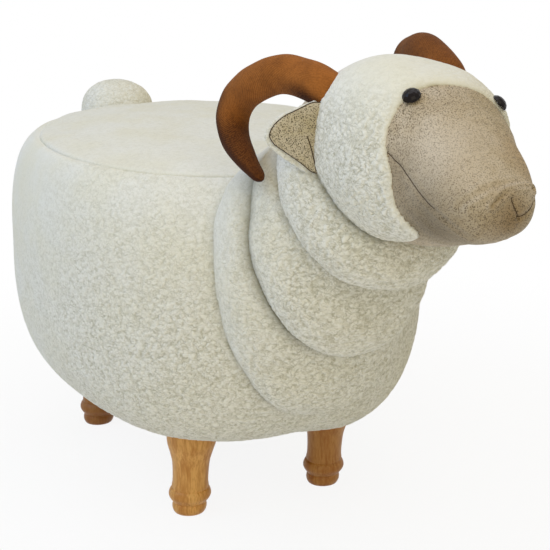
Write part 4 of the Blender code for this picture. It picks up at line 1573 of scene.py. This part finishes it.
@dataclass
class Head:
    """The stuffed head: fleece hood and suede face.

    Args:
        back: Where it starts along X.
        length: Its length.
        width: What the shares of its half widths are of.
        depth: What the shares of its half depths are of.
        height: The height of its axis.
        tilt: How far it leans over to the right side.
        power: The power of its sections.
        seam: Where the face seam crosses the axis.
        lean: How far the seam leans back.
        turned: How far the seam is turned to the right side.
        bend_chin: The seam under the chin: how strongly it runs back, from which height down, and
            how far at most.
        bend_far: The seam on the left side: how strongly it runs back, and out to where.
        bend_low: The seam below the eyes: how far it lies back, from which height down, and how
            much lower it does so fully.
        bend_near: The seam beside the right cheek: how far it lies back, round which height, and
            how far up and down from there.
        bend_hidden: The seam beside the left cheek, as below the eyes.
        shear: How far the back of the head leans over, as a share of the height over its axis.
        leaning: From where back it leans, and how much further back it does so fully.
        tip_rise: The rise of its very tip.
        hood_spacing: The distance between the hood's mesh points.
        face_spacing: The distance between the face's mesh points.
        face_inset: How far the face lies in from the hood.
        sections: Along, half width, half depth and rise, as shares.
    """

    back: float = 0.262
    length: float = 0.2283
    width: float = 0.140
    depth: float = 0.138
    height: float = 0.392
    tilt: float = math.radians(-8.4)
    power: float = 2.2
    seam: float = 0.4291
    lean: float = math.radians(-17.6)
    turned: float = math.radians(-8)
    bend_chin: Point = (3300.0, 0.3545, 0.08)
    bend_far: tuple[float, float] = (5.0, 0.055)
    bend_low: Point = (0.006, 0.392, 0.032)
    bend_near: Point = (0.0022, 0.412, 0.016)
    bend_hidden: Point = (0.014, 0.428, 0.03)
    shear: float = 0.095
    leaning: tuple[float, float] = (0.40, 0.06)
    tip_rise: float = -0.155
    hood_spacing: float = 0.0017
    face_spacing: float = 0.0011
    face_inset: float = 0.002
    sections: tuple[tuple[float, float, float, float], ...] = (
        (0.025, 0.159, 0.155, -0.006), (0.10, 0.322, 0.300, -0.006), (0.19, 0.400, 0.395, -0.010),
        (0.31, 0.450, 0.466, -0.013), (0.455, 0.465, 0.498, -0.016), (0.58, 0.460, 0.468, -0.018),
        (0.66, 0.413, 0.434, -0.031), (0.75, 0.350, 0.364, -0.063), (0.835, 0.313, 0.284, -0.098),
        (0.90, 0.287, 0.227, -0.130), (0.955, 0.232, 0.160, -0.154), (0.987, 0.150, 0.095, -0.155),
    )

    def axes(self) -> Matrix:
        """The head's own axes on the stool."""
        return Matrix.Translation((0, 0, self.height)) @ Matrix.Rotation(self.tilt, 4, "X")

    def form(self, name: str, inset: float, spacing: float) -> Skin:
        """The head's whole form.

        Args:
            name: The piece's name.
            inset: How far it is drawn in.
            spacing: The distance between mesh points.

        Returns:
            The skin.
        """
        table = np.array(self.sections)
        knots = np.concatenate(([0.0], np.arccos(1 - 2 * table[:, 0]) / math.pi, [1.0]))
        wanted = np.linspace(0, 1, 96)[1:-1]
        given = np.vstack(([0, 0, table[0, 3]], table[:, 1:], [0, 0, self.tip_rise]))
        rings = []
        for t, (wide, deep, rise) in zip(wanted, through(knots, given, wanted)):
            x = self.back + inset + (self.length - 2 * inset) * (1 - math.cos(math.pi * t)) / 2
            halves = (max(half - inset, 0.0006) for half in (self.depth * deep, self.width * wide))
            z, y = even_oval(*halves, self.power, 160).T
            shear = self.shear * min(max((self.leaning[0] - x) / self.leaning[1], 0), 1)
            rings.append(upright(np.column_stack((y - shear * z, z + self.depth * rise)), x))
        start = (self.back + inset, 0, self.depth * table[0, 3])
        end = (self.back + self.length - inset, 0, self.depth * self.tip_rise)
        skin = Skin(name, *loft(np.array(rings), start=start, end=end))
        return skin.turn(self.axes()).remesh(spacing)

    def seam_plane(self) -> tuple[Vector, Vector]:
        """A point on the face seam's plane and its direction towards the nose."""
        turned = Matrix.Rotation(self.turned, 3, "Z") @ Matrix.Rotation(self.lean, 3, "Y")
        return Vector((self.seam, 0, self.height)), turned @ Vector((1, 0, 0))

    def bend(self, places: np.ndarray) -> np.ndarray:
        """How far the seam runs back from its plane, as moves along X.

        Args:
            places: The points.

        Returns:
            The moves.
        """
        _, y, z = places.T
        share, height, most = self.bend_chin
        moved = np.minimum(share * np.clip(height - z, 0, None) ** 3, most)
        share, most = self.bend_far
        moved = moved + share * np.clip(y, 0, most) ** 2
        share, height, over = self.bend_low
        low = unit((height - z) / over)
        moved = moved + share * low ** 2 * (3 - 2 * low)
        share, height, over = self.bend_near
        moved = moved + share * bell((z - height) / over) * unit(-y / 0.03)
        share, height, over = self.bend_hidden
        low = unit((height - z) / over)
        moved = moved + share * low ** 2 * (3 - 2 * low) * unit(y / 0.03)
        return np.column_stack((moved, 0 * y, 0 * z))

    def cut_at_seam(self, skin: Skin, point: Vector, outward: Vector, lip: float) -> None:
        """Cuts a form off at the face seam.

        Args:
            skin: The form.
            point: A point on the seam's plane.
            outward: The side that goes.
            lip: How deep the edge turns in.
        """
        skin.points = skin.points + self.bend(skin.points)
        skin.cut(point, outward, lip)
        skin.points = skin.points - self.bend(skin.points)

    def build_hood(self, upholstery: Upholstery) -> None:
        """Builds the fleece hood, its edge rounded over the face.

        Args:
            upholstery: The fleece work.
        """
        point, forward = self.seam_plane()
        skin = self.form("head_fleece", 0.0, self.hood_spacing)
        self.cut_at_seam(skin, point + forward * 0.002, forward, 0.012)
        skin.remember()
        places = skin.points
        away = unit(0.002 - (places + self.bend(places) - np.array(point)) @ np.array(forward))
        edge = unit(1 - away / 0.007)
        skin.swell(0.0012 - 0.0050 * (1 - np.sqrt(1 - edge ** 2))
                   + 0.0009 * spread(places, 0.05, 21))
        # The fleece is smoother, with weaker painted shade and highlight, on top of the head and at
        # the hood's edge
        fluff = (1 - 0.8 * unit((places[:, 2] - 0.41) / 0.04)) * (1 - 0.7 * edge)
        upholstery.finish(skin, "head_hood", fluff)

    def build_face(self, wardrobe: Wardrobe) -> None:
        """Builds the suede face.

        Args:
            wardrobe: The finishes.
        """
        point, forward = self.seam_plane()
        skin = self.form("face_suede", self.face_inset, self.face_spacing)
        self.cut_at_seam(skin, point - forward * 0.006, -forward, 0.006)
        skin.remember()
        places = skin.points
        away = (places + self.bend(places) - np.array(point)) @ np.array(forward)
        flush = 0.0018 * unit((away - 0.006) / 0.012)
        skin.swell(flush + 0.0005 * spread(places, 0.03, 31)
                   + sum(crease.heights(places) for crease in SNOUT))
        surface = skin.surface()
        for crease in SNOUT:
            crease.build_thread(wardrobe, surface)
        skin.settle(wardrobe, "suede", "face_cover")


@dataclass
class Horn:
    """A stuffed horn that curls back, down and forward again.

    Args:
        side: Its side.
        root: Where it starts.
        back: How far it reaches back.
        drop: What its heights are shares of.
        out: How far it stands out.
        radius: Its radius at the root.
        tip_radius: Its radius at the tip.
        sunk: How far its root is pushed back into the head, as a share.
        turns: How far it is lifted about the head's axis, swung and nodded about its root.
        shift: How far it is moved.
        tone: How much darker it is.
        along: The number of rings along it.
        around: The number of points round it.
        smoothing: How many times its line is smoothed.
        pushed: How far each place on the path is pushed into the head, as shares.
        push: How far fully pushed places go back and in, as shares.
        path: Back, up and out along it, as shares.
    """

    side: Side
    root: Point = (0.339, 0.055, 0.438)
    back: float = 0.117
    drop: float = 0.081
    out: float = 0.030
    radius: float = 0.0153
    tip_radius: float = 0.0043
    sunk: float = 1.0
    turns: Point = (0.0, 0.0, 0.0)
    shift: Point = (0.0, 0.0, 0.0)
    tone: float = 0.0
    along: int = int(230 / DETAIL)
    around: int = int(68 / DETAIL)
    smoothing: int = 140
    pushed: tuple[float, ...] = (1.0, 1.0, 0.7, 0.4, 0.15, 0.0, 0.0, 0.0, 0.0, 0.0, 0.0)
    push: tuple[float, float] = (0.14, 0.30)
    path: tuple[Point, ...] = (
        (-0.09, -0.41, -0.83), (-0.022, -0.069, 0.0), (0.264, 0.011, 0.17), (0.492, 0.028, 0.33),
        (0.70, -0.065, 0.50), (0.909, -0.209, 0.63), (0.994, -0.405, 0.77), (0.962, -0.592, 0.87),
        (0.853, -0.72, 0.93), (0.674, -0.840, 0.97), (0.495, -0.968, 0.91),
    )

    def place(self, head: Head) -> Matrix:
        """Where the horn goes, from its place on the right side.

        Args:
            head: The head that it is sewn to.

        Returns:
            The move.
        """
        lift, swing, nod = (math.radians(angle) for angle in self.turns)
        middle = Matrix.Translation((0, 0, head.height))
        root = Matrix.Translation((self.root[0], self.side.value * self.root[1], self.root[2]))
        turned = Matrix.Rotation(nod, 4, "Y") @ Matrix.Rotation(swing, 4, "Z")
        about_root = root @ turned @ root.inverted()
        about_head = middle @ Matrix.Rotation(lift, 4, "X") @ middle.inverted()
        mirrored = Matrix.Diagonal((1, self.side.value, 1, 1))
        return Matrix.Translation(self.shift) @ about_root @ about_head @ mirrored

    def build(self, wardrobe: Wardrobe, head: Head) -> None:
        """Builds the horn.

        Args:
            wardrobe: The finishes.
            head: The head that it is sewn to.
        """
        shares = np.array(self.path)
        pushed = self.sunk * np.array(self.pushed)
        shares[:, 0] += self.push[0] * pushed
        shares[:, 2] -= self.push[1] * pushed
        given = np.array(self.root) + shares[:, (0, 2, 1)] * (-self.back, self.out, self.drop)
        wanted = np.linspace(0, 1, self.along)
        line = softened(through(np.linspace(0, 1, len(given)), given, wanted), self.smoothing)
        radius = self.radius + (self.tip_radius - self.radius) * wanted ** 4.2
        rounding = unit((wanted - 0.97) / 0.03)
        radius = radius * np.sqrt(unit(1 - (rounding * 0.97) ** 2))
        angle = np.linspace(-math.pi / 2, 3 * math.pi / 2, self.around, endpoint=False)
        start, end = line[0], 1.2 * line[-1] - 0.2 * line[-2]
        rings = sweep(line, radius, angle, (0, 1, 0))
        skin = Skin(f"horn_suede_{self.side.word}", *loft(rings, start=start, end=end))
        reach = reaches(line)
        weave = np.stack(np.broadcast_arrays(reach[:, None], angle[None, :] * self.radius,
                                             np.cos(angle)[None, :]), axis=-1)
        stored = np.vstack((weave.reshape(-1, 3), [[0, 0, 0], [reach[-1], 0, 0]]))
        skin.turn(self.place(head))
        if self.side is Side.RIGHT:
            skin.piece.data.flip_normals()
        skin.remember()
        skin.remember(WEAVE, stored)
        skin.note(TONE, np.full(len(stored), self.tone))
        skin.swell(0.0003 * spread(skin.points, 0.03, 41 + self.side.value))
        skin.settle(wardrobe, "horn_suede", f"horn_{self.side.word}")


HORNS = {
    Side.RIGHT: Horn(Side.RIGHT),
    Side.LEFT: Horn(Side.LEFT, sunk=0.0, turns=(11.2, -5.1, 6.7),
                    shift=(0.006, 0.0, -0.0073), tone=0.45),
}


@dataclass
class Ear:
    """A fleece ear with a suede lining on its front.

    Args:
        side: Its side.
        root: Where it is sewn on.
        length: How far it stands out.
        height: What its heights are shares of.
        sweep: How far it is swept back.
        thickness: The thickness of its fleece back.
        lining: The thickness of its lining.
        rim: How far the fleece shows round the lining.
        hang: How far the back hangs below the lining.
        back_spacing: The distance between the back's mesh points.
        lining_spacing: The distance between the lining's mesh points.
        thread: The radius of the threads on the lining.
        outline: Out along the ear and up, as shares.
        fold: Places along the fold in the right ear's lining, about the middle of the body.
    """

    side: Side
    root: Point = (0.325, 0.058, 0.397)
    length: float = 0.0400
    height: float = 0.058
    sweep: float = math.radians(14)
    thickness: float = 0.008
    lining: float = 0.0025
    rim: float = 0.0020
    hang: float = 0.0025
    back_spacing: float = 0.0016
    lining_spacing: float = 0.0011
    thread: float = 0.00045
    outline: tuple[tuple[float, float], ...] = (
        (-0.30, -0.35), (0.0, -0.46), (0.36, -0.31), (0.72, -0.13), (0.93, 0.0),
        (1.0, 0.10), (0.95, 0.20), (0.78, 0.33), (0.40, 0.46), (0.0, 0.54), (-0.30, 0.44),
    )
    fold: tuple[Point, ...] = (
        (0.3302, -0.0691, 0.4015), (0.3307, -0.0672, 0.3961), (0.3310, -0.0657, 0.3907),
        (0.3313, -0.0641, 0.3846), (0.3312, -0.0627, 0.3791), (0.3302, -0.0613, 0.3742),
    )

    def place(self) -> Matrix:
        """Where the ear's flat outline goes on the stool."""
        hand = self.side.value
        root = Matrix.Translation((self.root[0], hand * self.root[1], self.root[2]))
        return root @ Matrix.Rotation(hand * self.sweep, 4, "Z") @ Matrix.Diagonal((1, hand, 1, 1))

    def heart(self) -> np.ndarray:
        """The middle of the outline."""
        return np.array((self.length / 3, 0.0))

    def edge(self, grow: float) -> np.ndarray:
        """The outline, moved out.

        Args:
            grow: How far.

        Returns:
            Its points: out along the ear, and up.
        """
        given = np.array(self.outline) * (self.length, self.height)
        line = curve(np.vstack((given, given[:1])), 161)[:-1]
        away = line - self.heart()
        return line + away / np.linalg.norm(away, axis=1)[:, None] * grow

    def plate(self, name: str, grow: float, middle: float, half: float, spacing: float) -> Skin:
        """A rounded plate of the ear's outline.

        Args:
            name: The piece's name.
            grow: How far its edge is moved out.
            middle: How far forward its middle plane lies.
            half: Half its thickness.
            spacing: The distance between mesh points.

        Returns:
            The skin.
        """
        line = self.edge(grow)
        rings = []
        for angle in np.linspace(-math.pi / 2, math.pi / 2, 15)[1:-1]:
            share = 0.2 + 0.8 * math.cos(angle) ** 0.7
            outline = self.heart() * (1 - share) + line * share
            rings.append(upright(outline, middle + half * math.sin(angle)))
        tips = [(middle + way * half, *self.heart()) for way in (-1, 1)]
        skin = Skin(name, *loft(np.array(rings), start=tips[0], end=tips[1]))
        skin.turn(self.place())
        if self.side is Side.RIGHT:
            skin.piece.data.flip_normals()
        return skin.remesh(spacing, 2)

    def build(self, upholstery: Upholstery) -> None:
        """Builds the back and the lining.

        Args:
            upholstery: The fleece work.
        """
        word, half = self.side.word, self.thickness / 2
        back = self.plate(f"ear_fleece_{word}", 0.001, 0.0, half, self.back_spacing)
        back.turn(Matrix.Translation((0, 0, -self.hang)))
        back.remember()
        upholstery.finish(back, f"ear_back_{word}", 0.6)
        front = half + self.lining / 2
        lining = self.plate(f"ear_suede_{word}", -self.rim, front, self.lining, self.lining_spacing)
        lining.remember()
        surface = lining.surface()
        rim = upright(self.edge(-self.rim + 0.0004), half + 0.0016)
        seam = np.array([self.place() @ Vector(point) for point in rim])
        fold = curve(self.fold, 40) * (1, -self.side.value, 1)
        for name, line in (("seam", seam), ("fold", fold)):
            lay_thread(upholstery.wardrobe, f"ear_{name}_{word}", line, self.thread, surface)
        piece = lining.settle(upholstery.wardrobe, "lining", f"ear_lining_{word}")


@dataclass
class Tail:
    """The fleece ball behind the seat.

    Args:
        middle: Its middle, about the middle of the body.
        halves: Its half sizes.
        power: The power of its roundness, 2 for a ball.
        spacing: The distance between mesh points.
    """

    middle: Point = (-0.252, 0.0, 0.3235)
    halves: Point = (0.0375, 0.0398, 0.0372)
    power: float = 2.35
    spacing: float = 0.0021

    def build(self, upholstery: Upholstery) -> None:
        """Builds the ball.

        Args:
            upholstery: The fleece work.
        """
        bm = bmesh.new()
        bmesh.ops.create_icosphere(bm, subdivisions=4, radius=1.0)
        ball = np.array([vert.co[:] for vert in bm.verts])
        faces = [[vert.index for vert in face.verts] for face in bm.faces]
        bm.free()
        full = (np.abs(ball) ** self.power).sum(axis=1) ** (-1 / self.power)
        points = ball * full[:, None] * self.halves + self.middle
        skin = Skin("tail_fleece", points, faces).remesh(self.spacing)
        skin.remember()
        skin.swell(0.0006 * spread(skin.points, 0.05, 51))
        upholstery.finish(skin, "tail", 0.5)


@dataclass
class Leg:
    """A turned leg with a bead over its foot.

    Args:
        end: Front or rear.
        side: Its side.
        tone: How much painted shade darkens its wood, for a leg that stands in shadow.
        middle: Where the middle of the four legs is along X.
        apart: How far it stands from that middle, along and aside.
        lean: How far it leans over, as a share of the height.
        profile: Radius and height up its outside.
    """

    end: End
    side: Side
    tone: float = 0.0
    middle: float = -0.0205
    apart: tuple[float, float] = (0.1255, 0.0728)
    lean: Point = (0.021, 0.042, 0.0)
    profile: tuple[tuple[float, float], ...] = (
        (0.0112, 0.0021), (0.0135, 0.0008), (0.0146, 0.0004), (0.0152, 0.0013), (0.0157, 0.0095),
        (0.0153, 0.0101), (0.0162, 0.0112), (0.0186, 0.0142), (0.0203, 0.0183), (0.0196, 0.0220),
        (0.0180, 0.0246), (0.0172, 0.0252), (0.0176, 0.0262), (0.0172, 0.0300), (0.0171, 0.0390),
        (0.0174, 0.0450), (0.0181, 0.0523), (0.0204, 0.0616), (0.0233, 0.0718), (0.0240, 0.0800),
        (0.0240, 0.1047),
    )

    def build(self, wardrobe: Wardrobe) -> None:
        """Builds the leg.

        Args:
            wardrobe: The finishes.
        """
        line = curve(self.profile, int(90 / DETAIL))
        angle = np.linspace(0, 2 * math.pi, int(64 / DETAIL), endpoint=False)
        x = self.middle + self.end.value * self.apart[0]
        y = self.side.value * self.apart[1]
        radius, height = line[:, :1], line[:, 1:]
        rings = np.stack(np.broadcast_arrays(x + radius * np.cos(angle), y + radius * np.sin(angle),
                                             height), axis=-1)
        skin = Skin(f"leg_oak_{self.end.word}_{self.side.word}",
                    *loft(rings, start=(x, y, line[0, 1]), end=(x, y, line[-1, 1])))
        skin.points = skin.points + (skin.points[:, 2:] - 0.01) * self.lean
        skin.piece.data.set_sharp_from_angle(angle=math.radians(40))
        skin.note(TONE, np.full(len(skin.points), self.tone))
        skin.settle(wardrobe, "turned_oak", f"leg_{self.end.word}_{self.side.word}")


# The far front leg and the rear legs are darkened with painted shade
LEGS = (
    Leg(End.FRONT, Side.RIGHT, 0.0), Leg(End.FRONT, Side.LEFT, 0.5),
    Leg(End.REAR, Side.RIGHT, 0.75), Leg(End.REAR, Side.LEFT, 0.75),
)


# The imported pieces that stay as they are, by the starts of their names, under their finishes
KEPT = {
    "plywood": ("base_board", "seat_board", "neck_board"),
    "pine": ("neck_rail", "frame_post"),
    "zinc_steel": ("neck_bolt", "neck_nut", "seat_screw", "base_screw", "hanger_bolt", "tee_nut"),
    "foam": ("side_foam", "seat_foam"),
    "stuffing": ("head_filling",),
    "white_plastic": ("foot_glide", "eye_washer"),
    "eye_plastic": ("eye_right", "eye_left"),
}


def dress_kept(wardrobe: Wardrobe) -> None:
    """Gives the eyes and the pieces held inside their finishes.

    Args:
        wardrobe: The finishes.
    """
    for name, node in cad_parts.items():
        for finish, starts in KEPT.items():
            if name.startswith(starts):
                wardrobe.dress(node, finish)
                log.info("%s: kept, %s", name, finish)


@dataclass(frozen=True)
class Lamp:
    """A soft square lamp that faces the stool.

    Args:
        name: Its name.
        place: Where it hangs.
        size: The side of its square.
        power: Its power for red, green and blue.
        target: What it faces.
    """

    name: str
    place: Point
    size: float
    power: Colour
    target: Point = (0.0, 0.0, 0.25)

    def build(self) -> None:
        """Hangs the lamp."""
        data = bpy.data.lights.new(self.name, "AREA")
        data.size = self.size
        data.energy = max(self.power)
        data.color = [value / data.energy for value in self.power]
        made = add_object(self.name, data)
        made.location = self.place
        ahead = Vector(self.target) - Vector(self.place)
        made.rotation_euler = ahead.to_track_quat("-Z", "Y").to_euler()


@dataclass
class Stage:
    """The pale floor, the lamps, the surroundings and the camera.

    Args:
        camera_place: Where the camera stands, about the middle of the body.
        azimuth: How far round it stands.
        elevation: How far it looks down.
        lens: Its focal length in millimetres.
        sensor: The width of its sensor in millimetres.
        surroundings: The light from all round.
        floor_size: Half the side of the floor.
        floor: The colour of the floor.
        lamps: The lamps.
    """

    camera_place: Point = (1.2334, -0.5560, 0.5977)
    azimuth: float = math.radians(63)
    elevation: float = math.radians(16.5)
    lens: float = 91.636
    sensor: float = 36.0
    surroundings: Colour = (0.390, 0.355, 0.250)
    floor_size: float = 3.0
    floor: Colour = (0.97, 0.97, 0.97)
    lamps: tuple[Lamp, ...] = (
        Lamp("top", (0.1, 0.0, 2.4), 1.8, (15.8, 15.8, 17.6)),
        Lamp("left", (-0.3, -1.9, 1.7), 1.6, (6.3, 11.0, 19.8)),
        Lamp("front", (1.7, -0.9, 1.4), 1.6, (10.9, 9.9, 7.5)),
    )

    def background_rays(self, graph: Graph) -> Socket:
        """1 for the rays that see the white background: straight, mirrored or through glass."""
        path = graph.node("ShaderNodeLightPath")
        rays = path["Is Camera Ray"] + path["Is Glossy Ray"] + path["Is Transmission Ray"]
        return rays.least(1.0)

    def mix(self, graph: Graph, share: Socket, first: Socket, second: Socket, end: str) -> None:
        """Ends a graph with two shaders mixed.

        Args:
            graph: The graph.
            share: How much of the second there is.
            first: The first shader.
            second: The second shader.
            end: The kind of node that the graph ends with.
        """
        mixed = graph.node("ShaderNodeMixShader", None, {0: share, 1: first, 2: second})
        graph.node(end, None, {"Surface": mixed["Shader"]})

    def build_floor(self) -> None:
        """Builds the floor, which fades into the white surroundings further out."""
        bm = bmesh.new()
        bmesh.ops.create_grid(bm, x_segments=1, y_segments=1, size=self.floor_size)
        mesh = bpy.data.meshes.new("floor")
        bm.to_mesh(mesh)
        bm.free()
        floor = add_object("floor", mesh)
        paint = Paint("floor")
        graph = paint.graph
        cloth = graph.node("ShaderNodeBsdfDiffuse", None, {"Color": self.floor})["BSDF"]
        clear = graph.node("ShaderNodeBsdfTransparent")["BSDF"]
        away = paint.place().reach((0.0, 0.0, 0.0))
        share = away.ramp(0.25, 0.9, 0.89, 1.0) * self.background_rays(graph)
        self.mix(graph, share, cloth, clear, "ShaderNodeOutputMaterial")
        mesh.materials.append(paint.material)

    def build_world(self) -> None:
        """Builds soft surroundings that the camera sees as plain white."""
        world = bpy.data.worlds.new("studio")
        world.use_nodes = True
        graph = Graph(world.node_tree)
        soft, white = (graph.node("ShaderNodeBackground", None, {"Color": colour})["Background"]
                       for colour in (self.surroundings, (1.0, 1.0, 1.0)))
        self.mix(graph, self.background_rays(graph), soft, white, "ShaderNodeOutputWorld")
        bpy.context.scene.world = world

    def build_camera(self) -> None:
        """Sets the camera where the photograph was taken from."""
        data = bpy.data.cameras.new("camera")
        data.lens = self.lens
        data.sensor_width = self.sensor
        made = add_object("camera", data)
        x, y, z = self.camera_place
        made.location = (x + BODY_MIDDLE, y, z)
        made.rotation_euler = (math.pi / 2 - self.elevation, 0, self.azimuth)
        bpy.context.scene.camera = made
        bpy.context.scene.view_settings.view_transform = "Standard"

    def build(self) -> None:
        """Builds everything round the stool."""
        self.build_floor()
        self.build_world()
        for lamp in self.lamps:
            lamp.build()
        self.build_camera()


def main() -> None:
    """Builds and dresses the whole footstool."""
    logging.basicConfig(level=logging.INFO, format="%(message)s")
    wardrobe = Wardrobe()
    dress_kept(wardrobe)
    upholstery = Upholstery(wardrobe)
    body = Body()
    body.build_side(upholstery)
    body.build_seat(upholstery)
    body.build_cloth(wardrobe)
    for roll in NECK:
        roll.build(upholstery)
    head = Head()
    head.build_hood(upholstery)
    head.build_face(wardrobe)
    for side in Side:
        HORNS[side].build(wardrobe, head)
        Ear(side).build(upholstery)
    Tail().build(upholstery)
    upholstery.paint_gap_shade()
    for leg in LEGS:
        leg.build(wardrobe)
    Stage().build()


if __name__ == "__main__":
    main()
